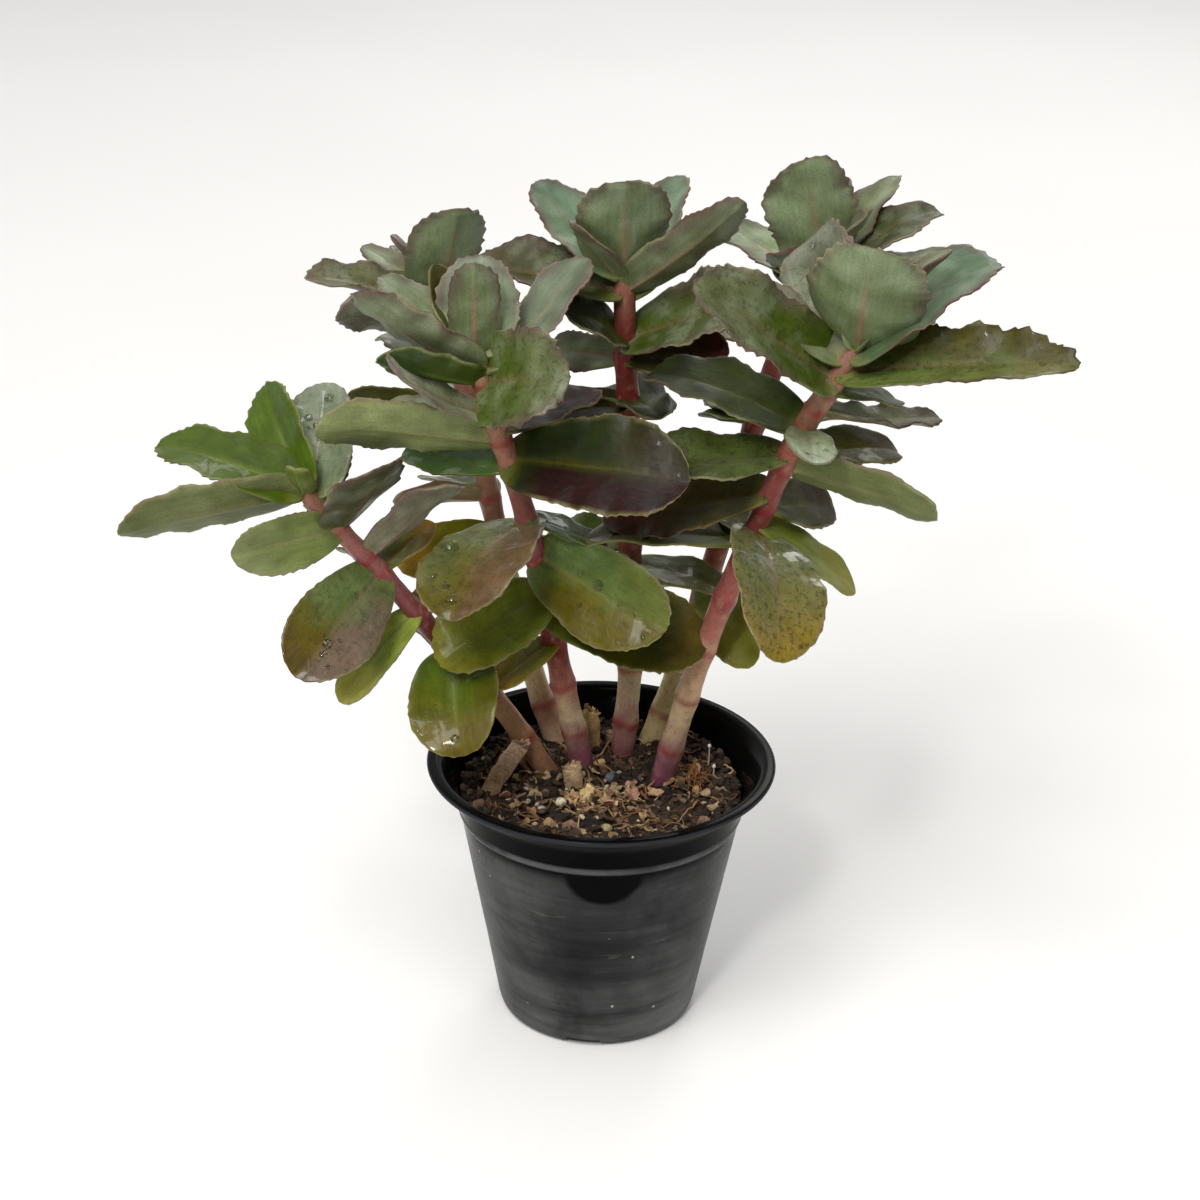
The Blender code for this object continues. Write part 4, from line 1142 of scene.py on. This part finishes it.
def add_notch(pot, number):
    """Cuts one notch and its drain hole out of the pot, and gives the cutter, to be removed afterwards."""
    bm = bmesh.new()
    bmesh.ops.create_cube(bm, size=1.0)
    bmesh.ops.scale(bm, verts=bm.verts, vec=tuple(side * MM for side in NOTCH_SIZE))
    bmesh.ops.bevel(bm, geom=bm.edges, offset=NOTCH_ROUNDING * MM, segments=3, affect="EDGES")
    bmesh.ops.translate(bm, verts=bm.verts, vec=(NOTCH_PLACE * MM, 0, 0))
    radius = DRAIN_RADIUS * MM
    drain = bmesh.ops.create_cone(
        bm, cap_ends=True, segments=24, radius1=radius, radius2=radius, depth=DRAIN_LENGTH * MM
    )["verts"]
    bmesh.ops.translate(bm, verts=drain, vec=(DRAIN_PLACE * MM, 0, 0))
    angle = math.radians(NOTCH_AZIMUTH) + math.tau * number / NOTCH_COUNT
    bmesh.ops.rotate(bm, verts=bm.verts, matrix=Matrix.Rotation(angle, 3, "Z"))
    cutter = placed_mesh(f"notch_{number}", bm)
    difference = pot.modifiers.new(f"notch_{number}", "BOOLEAN")
    difference.operation = "DIFFERENCE"
    difference.object = cutter
    difference.solver = "EXACT"
    difference.use_self = True
    return cutter


def make_pot():
    """The pot: a wall turned from one closed profile, with the notches and drain holes cut out."""
    outer = [
        (LIP_RADIUS - 2 * LIP_THICKNESS, POT_HEIGHT),
        (LIP_RADIUS - LIP_ROUNDING, POT_HEIGHT),
        (LIP_RADIUS, POT_HEIGHT - LIP_ROUNDING),
        (LIP_RADIUS - LIP_ROUNDING / 2, POT_HEIGHT - LIP_THICKNESS),
        (LIP_RADIUS - 0.4 * FLARE_WIDTH, POT_HEIGHT - 0.8 * LIP_THICKNESS),
        (LIP_RADIUS - 0.7 * FLARE_WIDTH, POT_HEIGHT - 0.5 * FLARE_HEIGHT),
        (LIP_RADIUS - FLARE_WIDTH, POT_HEIGHT - FLARE_HEIGHT),
        (RIDGE_RADIUS + RIDGE_DEPTH, RIDGE_HEIGHT + 3 * RIDGE_DEPTH),
        (RIDGE_RADIUS + 1.3 * RIDGE_DEPTH, RIDGE_HEIGHT + RIDGE_DEPTH),
        (RIDGE_RADIUS, RIDGE_HEIGHT - 0.6 * RIDGE_DEPTH),
        (BASE_RADIUS + 4.2, 27.0),
        (BASE_RADIUS, HEEL_HEIGHT),
        (BASE_RADIUS - 0.3 * HEEL_WIDTH, 0.3 * HEEL_HEIGHT),
        (BASE_RADIUS - HEEL_WIDTH, 0.0),
        (BASE_RADIUS - 2 * HEEL_WIDTH, 0.0),
        (BASE_RADIUS - 2.5 * HEEL_WIDTH, FOOT_HEIGHT),
        (0, FOOT_HEIGHT),
    ]
    inner = [
        (0, FLOOR),
        (BASE_RADIUS - 0.4 * HEEL_WIDTH - WALL, FLOOR),
        (BASE_RADIUS - WALL, FLOOR + 0.5 * HEEL_HEIGHT),
        (RIDGE_RADIUS - WALL, RIDGE_HEIGHT - RIDGE_DEPTH),
        (RIDGE_RADIUS + RIDGE_DEPTH - WALL, RIDGE_HEIGHT + 2 * RIDGE_DEPTH),
        (LIP_RADIUS - FLARE_WIDTH - WALL, POT_HEIGHT - FLARE_HEIGHT),
        (LIP_RADIUS - 0.6 * FLARE_WIDTH - WALL, POT_HEIGHT - 0.3 * FLARE_HEIGHT),
    ]
    profile = rounded(inner + outer, CORNER_ROUNDING)
    pot = turned_object("nursery_pot", profile, POT_STEPS, plastic_material())
    cutters = [add_notch(pot, number) for number in range(NOTCH_COUNT)]
    apply_modifiers(pot)
    for cutter in cutters:
        bpy.data.objects.remove(cutter, do_unlink=True)
    pot.data.shade_smooth()
    pot.data.set_sharp_from_angle(angle=math.radians(40))
    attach(pot, BODY)
    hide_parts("pot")


def soil_height(x, y):
    """The height of the soil's lumpy surface, which rises a little at the wall and towards the back."""
    radius = math.hypot(x, y)
    place = Vector((x, y, 0.0))
    lumps = noise.noise(place * 0.09) + 0.6 * noise.noise(place * 0.21)
    fine = 1.2 * noise.noise(place * 0.5 + Vector((0, 0, 5))) + 0.8 * noise.noise(place * 1.3)
    banked = 1.2 + 2.4 * max(0.0, y) / SOIL_RADIUS + 1.0 * (radius / SOIL_RADIUS) ** 6
    return SOIL_LEVEL + 1.6 * lumps + banked + fine


def make_soil():
    """The body of the soil: a crumbly crown over plain sides that follow the pot's wall."""
    sides = SOIL_SPOKES
    rings = [(SOIL_RADIUS * ring / SOIL_RINGS, None) for ring in range(1, SOIL_RINGS + 1)]
    rings += SOIL_SIDES
    points = [(0.0, 0.0, soil_height(0.0, 0.0))]
    for radius, height in rings:
        for side in range(sides):
            angle = math.tau * side / sides
            x, y = radius * math.cos(angle), radius * math.sin(angle)
            points.append((x, y, height or soil_height(x, y)))
    points.append((0.0, 0.0, SOIL_SIDES[-1][1]))
    faces = [(0, 1 + side, 1 + (side + 1) % sides) for side in range(sides)]
    faces += grid_faces(len(rings), sides, start=1, closed=True, flip=True)
    last = 1 + (len(rings) - 1) * sides
    faces += [(len(points) - 1, last + (side + 1) % sides, last + side) for side in range(sides)]
    points = np.array(points)
    cloud = noise_at(points, 0.12)
    grains = noise_at(points, 0.9, 4.0)
    paint = mix(daylight((26, 17, 11)), daylight((70, 48, 31)), smooth(-0.5, 0.6, cloud + 0.8 * grains))
    shell = Shell()
    shell.add(points, faces, paint)
    soil = shell.make("soil_bed", painted_material("loam", 480.0, 0.9, (0.75, 1.0)))
    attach(soil, BODY)
    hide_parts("soil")


def ball(level):
    """Points and faces of a subdivided icosahedron of radius 1."""
    bm = bmesh.new()
    bmesh.ops.create_icosphere(bm, subdivisions=level, radius=1.0)
    points = np.array([tuple(v.co) for v in bm.verts])
    faces = [tuple(v.index for v in f.verts) for f in bm.faces]
    bm.free()
    return points, faces


def turn_matrix(rng, tilt):
    """A turn to a random heading, tipped by up to the given tilt."""
    lean, pitch, heading = rng.uniform(-tilt, tilt), rng.uniform(-tilt, tilt), rng.uniform(0, math.tau)
    return np.array(Euler((lean, pitch, heading)).to_matrix())


def add_lump(shell, rng, spot, sizes, colour, shape, tilt, rough):
    """A crumb, chip or stone: a ball squeezed to size and made uneven."""
    points, faces = shape
    bumps = noise_at(points + rng.uniform(0, 50), 1.1) * rough
    grown = points * (1 + bumps)[:, None] * np.array(sizes)
    grown = grown @ turn_matrix(rng, tilt).T + np.array(spot)
    tone = daylight(colour) * rng.uniform(0.75, 1.25)
    shade = 1 + 0.2 * noise_at(grown, 0.9, 8.0)
    shell.add(grown, faces, tone * shade[:, None])


def add_scrap(shell, rng, spot, size, colour, crumple=0.3, narrow=0.6, tilt=0.6):
    """A crumpled ragged scrap of bark or dry leaf: a thin closed plate with an uneven outline."""
    spokes, rings = 11, 4
    ragged = [rng.uniform(0.55, 1.15) for _ in range(spokes)]
    rows = []
    for ring in range(1, rings + 1):
        for spoke in range(spokes):
            angle = math.tau * spoke / spokes
            reach = 0.5 * size * ring / rings * (1 + (ragged[spoke] - 1) * ring / rings)
            rows.append((reach * math.cos(angle), narrow * reach * math.sin(angle), 0.0))
    flat = np.array([(0.0, 0.0, 0.0)] + rows)
    folds = noise_at(flat, 1.6 / size, rng.uniform(0, 90))
    folds = folds + 0.5 * noise_at(flat, 3.6 / size, rng.uniform(0, 90))
    flat[:, 2] = crumple * size * folds
    thick = max(0.25, 0.07 * size)
    points = np.concatenate([flat + (0, 0, thick / 2), flat - (0, 0, thick / 2)])
    total = len(flat)
    top = [(0, 1 + spoke, 1 + (spoke + 1) % spokes) for spoke in range(spokes)]
    top += grid_faces(rings, spokes, start=1, closed=True, flip=True)
    faces = top + [tuple(index + total for index in reversed(face)) for face in top]
    rim = 1 + (rings - 1) * spokes
    for spoke in range(spokes):
        a, b = rim + spoke, rim + (spoke + 1) % spokes
        faces.append((b, a, a + total, b + total))
    points = points @ turn_matrix(rng, tilt).T + np.array(spot)
    # Painted shade and light: darker in the hollows of the crumples and lighter on their crests, with a
    # little random tone
    shade = 1 + 0.9 * np.concatenate([folds, folds]) + 0.25 * noise_at(points, 1.5, 2.0)
    tone = daylight(colour) * rng.uniform(0.8, 1.2)
    shell.add(points, faces, tone * np.clip(shade, 0.3, 1.7)[:, None])


def free_spot(rng, reach=43.0, clear=5.5, inner=0.0):
    """A place on the soil clear of the stems, and the height of the soil there."""
    feet = [stem["route"][0] for stem in STEMS.values()]
    while True:
        angle = rng.uniform(0, math.tau)
        radius = math.sqrt(rng.uniform(inner**2, reach**2))
        x, y = radius * math.cos(angle), radius * math.sin(angle)
        if min(math.hypot(x - foot[0], y - foot[1]) for foot in feet) > clear:
            return x, y, soil_height(x, y)


def add_fibre(shell, rng, start, heading, length, radius, colour, lift=0.6, rise=0.0):
    """A thin root or straw that wanders over the soil and turns away from the wall."""
    x, y, z = start
    centres = []
    steps = max(6, int(length / 1.2))
    for step in range(steps):
        height = soil_height(x, y) if math.hypot(x, y) < SOIL_RADIUS else z
        arch = math.sin(math.pi * step / (steps - 1)) * rise
        centres.append((x, y, height + radius + lift * 0.5 + arch))
        heading += rng.uniform(-0.35, 0.35)
        reach = length / steps
        for turn in (0.0, 1.2):
            heading += turn
            ahead = (x + reach * math.cos(heading), y + reach * math.sin(heading))
            if math.hypot(*ahead) <= SOIL_RADIUS - 1.0:
                break
        else:
            ahead = (x * 0.98, y * 0.98)
        x, y = ahead
    radii = np.linspace(radius, radius * 0.5, steps)
    add_tube(shell, centres, radii, 6, daylight(colour) * rng.uniform(0.8, 1.2))


# Things in the soil that the photo shows one by one: kind, place across and back in mm, size and colour
KEEPSAKES = [
    ("stone", 3.5, 6.0, 2.6, (92, 98, 108)),
    ("perlite", -22.5, -8.5, 1.8, (212, 200, 176)),
    ("perlite", -19.0, -14.5, 1.6, (214, 204, 184)),
    ("perlite", -13.0, -12.0, 2.0, (218, 206, 180)),
    ("perlite", -16.0, -9.5, 1.5, (206, 194, 166)),
    ("perlite", -24.5, -1.0, 1.4, (206, 194, 170)),
    ("perlite", -30.0, -9.0, 1.5, (200, 186, 160)),
    ("perlite", 2.0, -26.0, 2.0, (196, 184, 138)),
    ("perlite", -8.0, 12.0, 1.9, (208, 196, 164)),
    ("perlite", -4.0, 17.5, 1.8, (204, 192, 158)),
    ("perlite", -6.5, 8.0, 1.6, (200, 188, 152)),
    ("scrap", -4.5, -6.0, 8.6, (196, 170, 122)),
    ("scrap", 0.5, -10.0, 7.2, (188, 160, 116)),
    ("scrap", -9.0, -10.0, 7.2, (172, 138, 100)),
    ("scrap", 2.5, -14.0, 7.9, (176, 128, 112)),
    ("scrap", 6.0, -9.0, 7.2, (166, 130, 106)),
    ("scrap", 10.5, -6.0, 6.5, (176, 140, 112)),
    ("scrap", -1.5, -1.0, 6.5, (168, 132, 108)),
    ("scrap", 14.5, -4.5, 5.8, (168, 100, 70)),
    ("scrap", 18.0, -3.5, 6.5, (196, 158, 124)),
    ("scrap", 17.0, -12.5, 5.8, (176, 136, 98)),
    ("scrap", 8.0, -20.0, 6.5, (168, 132, 104)),
    ("scrap", 14.0, -19.5, 5.0, (176, 138, 96)),
    ("scrap", -26.0, -13.0, 7.2, (176, 142, 112)),
    ("scrap", -31.0, -7.0, 5.8, (166, 122, 96)),
    ("scrap", -22.0, -19.0, 5.0, (146, 104, 72)),
    ("scrap", -7.0, 22.0, 6.5, (178, 150, 104)),
    ("scrap", -1.0, 14.0, 5.8, (182, 156, 112)),
    ("scrap", 4.0, 33.0, 6.5, (168, 138, 96)),
    ("scrap", -26.0, 12.0, 5.8, (170, 132, 100)),
    ("scrap", 20.0, 16.0, 5.8, (176, 144, 98)),
    ("scrap", 26.0, 14.0, 5.8, (166, 122, 80)),
    ("scrap", 22.5, 3.0, 5.0, (184, 150, 108)),
]

# Colours of the loose things on the soil, and how many there are of each
LOAM_TONES = (
    (44, 31, 20), (58, 42, 27), (32, 23, 15), (72, 53, 34), (40, 29, 18), (94, 70, 44), (24, 17, 12),
)
SCRAP_TONES = (
    (116, 88, 58), (146, 118, 82), (88, 64, 42), (168, 144, 108), (70, 52, 34), (132, 102, 80), (58, 42, 28),
)
PALE_TONES = (
    (196, 166, 122), (176, 138, 104), (170, 126, 106), (204, 182, 142), (138, 102, 72), (150, 122, 84),
)
ROOT_TONES = ((120, 84, 52), (96, 62, 38), (160, 124, 82), (74, 48, 30), (182, 150, 108))
PERLITE_TONE = (208, 196, 170)
TUFT_TONE = (150, 98, 54)
CRUMBS, SCRAPS, GRAINS, ROOTS, PALE_SCRAPS, TUFT_ROOTS = 1050, 280, 46, 120, 80, 34
LITTER_SEED = 31

# Where they lie, in mm: the ring along the wall starts, and the middle and spread across and back
WALL_START = 41.0
HEAP = ((1, 9), (-8, 6))
TUFT = ((31, 3.0), (9, 3.4))


def add_crumbs(shell, rng, shape):
    """Crumbs of soil, a third of them banked up against the wall."""
    for number in range(CRUMBS):
        at_wall = number % 3 == 0
        x, y, z = free_spot(rng, 45.8 if at_wall else 44.0, 4.4, WALL_START if at_wall else 0.0)
        size = rng.uniform(0.4, 1.9)
        sizes = (size * rng.uniform(0.8, 1.4), size, size * rng.uniform(0.5, 0.9))
        lift = rng.uniform(0.0, 2.2) if at_wall else 0.3 * size
        add_lump(shell, rng, (x, y, z + lift), sizes, rng.choice(LOAM_TONES), shape, 0.8, 0.4)


def add_loose_pieces(shell, rng, shape):
    """Scraps of bark, grains of perlite and roots, strewn all over the soil."""
    for _ in range(SCRAPS):
        x, y, z = free_spot(rng, 44.0, 4.8)
        size = rng.uniform(1.6, 6.5)
        tone = rng.choice(SCRAP_TONES)
        add_scrap(shell, rng, (x, y, z + 0.5 + 0.12 * size), size, tone, narrow=rng.uniform(0.25, 0.8))
    for _ in range(GRAINS):
        x, y, z = free_spot(rng, 43.0)
        size = rng.uniform(0.5, 1.2)
        sizes = (size, size * rng.uniform(0.7, 1.0), size * 0.8)
        add_lump(shell, rng, (x, y, z + 0.6), sizes, PERLITE_TONE, shape, 0.5, 0.45)
    for _ in range(ROOTS):
        start = free_spot(rng, 42.5)
        tone = rng.choice(ROOT_TONES)
        heading, length = rng.uniform(0, math.tau), rng.uniform(5, 20)
        radius, rise = rng.uniform(0.14, 0.45), rng.uniform(0, 2.6)
        add_fibre(shell, rng, start, heading, length, radius, tone, 0.8, rise)


def add_keepsakes(shell, rng, shape):
    """The stones and scraps that the photo shows one by one."""
    for kind, x, y, size, tone in KEEPSAKES:
        z = soil_height(x, y)
        if kind == "scrap":
            add_scrap(shell, rng, (x, y, z + 1.2 + 0.1 * size), size, tone, 0.34, 0.62)
        else:
            rough = 0.12 if kind == "stone" else 0.4
            sizes = (size, size * 0.85, size * 0.72)
            add_lump(shell, rng, (x, y, z + 0.9), sizes, tone, shape, 0.5, rough)


def add_heap_and_tuft(shell, rng):
    """A heap of pale scraps in front of the stems, and a tuft of fine roots at the right."""
    for _ in range(PALE_SCRAPS):
        x, y = (rng.gauss(middle, spread) for middle, spread in HEAP)
        size = rng.uniform(1.4, 5.2)
        spot = (x, y, soil_height(x, y) + rng.uniform(0.8, 2.4))
        tone = rng.choice(PALE_TONES)
        add_scrap(shell, rng, spot, size, tone, narrow=rng.uniform(0.3, 0.9), tilt=1.0)
    for _ in range(TUFT_ROOTS):
        start = (*(rng.gauss(middle, spread) for middle, spread in TUFT), SOIL_LEVEL)
        heading, length, rise = rng.uniform(0, math.tau), rng.uniform(5, 12), rng.uniform(0.5, 3.6)
        add_fibre(shell, rng, start, heading, length, 0.22, TUFT_TONE, 1.2, rise)


def make_litter():
    """Crumbs, bark, perlite, roots and dry scraps that lie on the soil."""
    rng = random.Random(LITTER_SEED)
    shell = Shell()
    small = ball(1)
    add_crumbs(shell, rng, small)
    add_loose_pieces(shell, rng, small)
    add_keepsakes(shell, rng, ball(2))
    add_heap_and_tuft(shell, rng)
    material = painted_material("litter", 600.0, 0.6, (0.7, 0.95), (0.6, 1.35))
    litter = shell.make("soil_litter", material, sharp=50)
    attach(litter, BODY)


# Each sprout: its place across and back, and its height, in mm
SPROUTS = ((36.0, 17.0, 7.5), (37.5, 11.0, 3.2))
SPROUT_SEED = 5


def make_sprouts():
    """Two thin white sprouts that stand in the soil at the right, each with a bud."""
    shell = Shell()
    rng = random.Random(SPROUT_SEED)
    for x, y, height in SPROUTS:
        z = soil_height(x, y)
        shares = np.linspace(0, 1, 12)
        centres = [(x + 0.25 * math.sin(2.2 * t), y, z - 1.0 + (height + 1.0) * t) for t in shares]
        add_tube(shell, centres, [0.22] * 12, 8, daylight((206, 204, 190)))
        add_lump(shell, rng, centres[-1], (0.62, 0.62, 0.75), (236, 234, 226), ball(2), 0.1, 0.08)
    material = painted_material("sprout", 900.0, 0.2, (0.5, 0.7), (0.9, 1.08))
    sprouts = shell.make("white_sprouts", material)
    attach(sprouts, BODY)


def make_stubs():
    """The dried stubs of old stems, each with a frayed top of bark scraps."""
    material = painted_material("dry_stem", 520.0, 0.6, (0.65, 0.9), (0.7, 1.3))
    for name, (points, radius, low, high) in STUBS.items():
        rng = random.Random(name)
        shell = Shell()
        centres, _ = spline_points(points, STUB_RINGS)
        fractions = np.linspace(0, 1, STUB_RINGS)
        taper = np.interp(fractions, (0, 0.8, 1), (radius, radius, radius * 0.85))
        rings = tube_points(centres, taper, STUB_SIDES)
        wobble = 0.7 * noise_at(rings, 0.22, 2.0) + 0.35 * noise_at(rings * np.array([1, 1, 0.25]), 1.0)
        share = smooth(0.3, 1.0, fractions)[:, None] + 0.3 * noise_at(rings, 0.35)
        paint = mix(daylight(low), daylight(high), np.clip(share, 0, 1))
        add_tube(shell, centres, taper, STUB_SIDES, paint, wobble=wobble)
        top = np.array(centres[-1])
        for _ in range(STUB_SCRAPS):
            angle = rng.uniform(0, math.tau)
            out = rng.uniform(1.2, 2.6)
            spot = top + np.array((out * math.cos(angle), out * math.sin(angle), rng.uniform(-1.6, 0.6)))
            add_scrap(shell, rng, spot, rng.uniform(2.6, 5.0), high, 0.35, 0.6, 1.2)
        stub = shell.make(name.replace("dead", "old"), material)
        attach(stub, BODY)
        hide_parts(name)


# Drops seen one by one in the photo: stem, number of the leaf, place along it and across it, radius in mm
DROPS = [
    ("front_left", 15, 0.5, -0.72, 2.9),
    ("front_left", 15, 0.88, -0.15, 2.0),
    ("front_left", 15, 0.8, -0.35, 1.1),
    ("front_left", 16, 0.5, 0.14, 1.8),
    ("front_left", 16, 0.36, 0.2, 1.2),
    ("front_right", 2, 0.88, 0.1, 1.9),
    ("left", 3, 0.86, -0.2, 1.7),
    ("left", 3, 0.68, 0.4, 1.3),
    ("left", 3, 0.62, 0.15, 1.0),
    ("left", 3, 0.52, -0.2, 0.9),
    ("left", 11, 0.7, 0.1, 1.7),
    ("left", 11, 0.78, 0.2, 1.1),
    ("left", 14, 0.87, -0.1, 1.4),
]

# Smaller drops strewn over wet leaves: the most on one leaf. A drop's height as a share of its radius, and
# how far in mm its middle lies off the leaf's mid surface.
STRAY_DROPS = 14
DROP_HEIGHT = 0.7
DROP_LIFT = 0.72


def add_drop(shell, leaf, along, column, radius, dome):
    """A bead of water that sits on a leaf, a little flattened."""
    here, facing = leaf.surface(along, column)
    side = unit(np.cross(facing, leaf.forward))
    other = np.cross(facing, side)
    points, faces = dome
    axes = np.stack([side * radius, other * radius, facing * radius * DROP_HEIGHT])
    middle = here + facing * DROP_LIFT
    shell.add(points @ axes + middle, faces, (1.0, 1.0, 1.0))


def make_plant():
    """The six stems with their leaves, and the drops of water on them."""
    skin = leaf_material()
    drops = Shell()
    dome = ball(3)
    for number, (name, stem) in enumerate(STEMS.items()):
        rng = random.Random(LEAF_SEED + number)
        route = Route(stem["route"])
        shell = Shell()
        add_stem(shell, stem, route, STEM_SHIFT * number)
        for index, entry in enumerate(stem["leaves"]):
            leaf = Leaf(entry, route, rng)
            leaf.add_to(shell, LEAF_NUMBERS * number + index)
            for _ in range(int(rng.uniform(0, STRAY_DROPS) * leaf.skin["wet"] ** 2)):
                along, column = rng.uniform(0.3, 0.93), rng.uniform(-0.75, 0.75)
                add_drop(drops, leaf, along, column, rng.uniform(0.3, 0.9), dome)
            for owner, place, along, column, radius in DROPS:
                if owner == name and place == index:
                    add_drop(drops, leaf, along, column, radius, dome)
        plant = shell.make("growth_" + name, skin)
        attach(plant, BODY)
        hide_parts("leafy_stem_" + name)
    water = drops.make("water_drops", water_material())
    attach(water, BODY)


# Lights: name, place and the point that it faces in metres, width in metres and power in watts
LIGHTS = (
    ("key", (-0.4, -0.8, 1.5), (0, 0, 0.1), 0.9, 19.6),
    ("window", (-0.35, -1.3, 1.25), (0, 0, 0.14), 0.18, 7.0),
    ("back", (0.4, 1.4, 1.2), (0, 0, 0.1), 0.7, 7.0),
)
WARM_WHITE = (1.0, 0.985, 0.955)
SKY_WHITE = (1.0, 0.995, 0.98, 1.0)

# The camera of the photo: its place in metres, its tilt and roll in degrees, its lens and sensor in mm
CAMERA_PLACE = (-0.0015, -0.7875, 0.507)
CAMERA_TILT = 65.5
CAMERA_ROLL = 1.17
FOCAL_LENGTH = 81.0
SENSOR_WIDTH = 36.0
FLOOR_REACH = 20.0


def make_floor():
    """A plain pale floor."""
    bm = bmesh.new()
    bmesh.ops.create_grid(bm, x_segments=2, y_segments=2, size=FLOOR_REACH)
    floor = placed_mesh("floor", bm)
    net = Net("floor", 0.9)
    cloud = net.noise(net.place(), 3.0, 2.0)
    tone = net.mix(net.ramp(cloud, 0.3, 0.7), (0.84, 0.84, 0.84), (0.87, 0.87, 0.87))
    floor.data.materials.append(net.finish(tone))


def make_sky():
    """An even white light from all round, dim on the viewer's side and below, brighter behind and above."""
    world = bpy.data.worlds.new("studio")
    net = Tree(world)
    heading = net.node("ShaderNodeTexCoord").outputs["Generated"]
    parts = net.node("ShaderNodeSeparateXYZ", Vector=heading)
    behind = net.ramp(parts.outputs["Y"], -0.9, 0.15, 0.12, 0.8)
    above = net.ramp(parts.outputs["Z"], 0.3, 0.8, 0.0, 0.3)
    background = net.tree.nodes["Background"]
    net.plug(background.inputs["Strength"], net.maths("MAXIMUM", behind, above))
    net.plug(background.inputs["Color"], SKY_WHITE)
    bpy.context.scene.world = world


def make_stage():
    """A floor, a sky, three soft lights and the photo's camera.

    The key light stands in front and above, a small window light lower in front, and the last one behind.
    """
    make_floor()
    make_sky()
    for name, spot, aim, size, power in LIGHTS:
        light = bpy.data.lights.new(name, "AREA")
        light.size = size
        light.energy = power
        light.color = WARM_WHITE
        lamp = placed(name, light)
        lamp.location = spot
        lamp.rotation_euler = (Vector(aim) - Vector(spot)).to_track_quat("-Z", "Y").to_euler()

    lens = bpy.data.cameras.new("camera")
    lens.sensor_width = SENSOR_WIDTH
    lens.lens = FOCAL_LENGTH
    lens.clip_start = 0.01
    camera = placed("camera", lens)
    tilt = Matrix.Rotation(math.radians(CAMERA_TILT), 4, "X")
    roll = Matrix.Rotation(math.radians(CAMERA_ROLL), 4, "Z")
    camera.matrix_world = Matrix.Translation(CAMERA_PLACE) @ tilt @ roll
    bpy.context.scene.camera = camera
    bpy.context.scene.view_settings.view_transform = "Standard"


make_stage()
make_pot()
make_soil()
make_litter()
make_stubs()
make_sprouts()
make_plant()
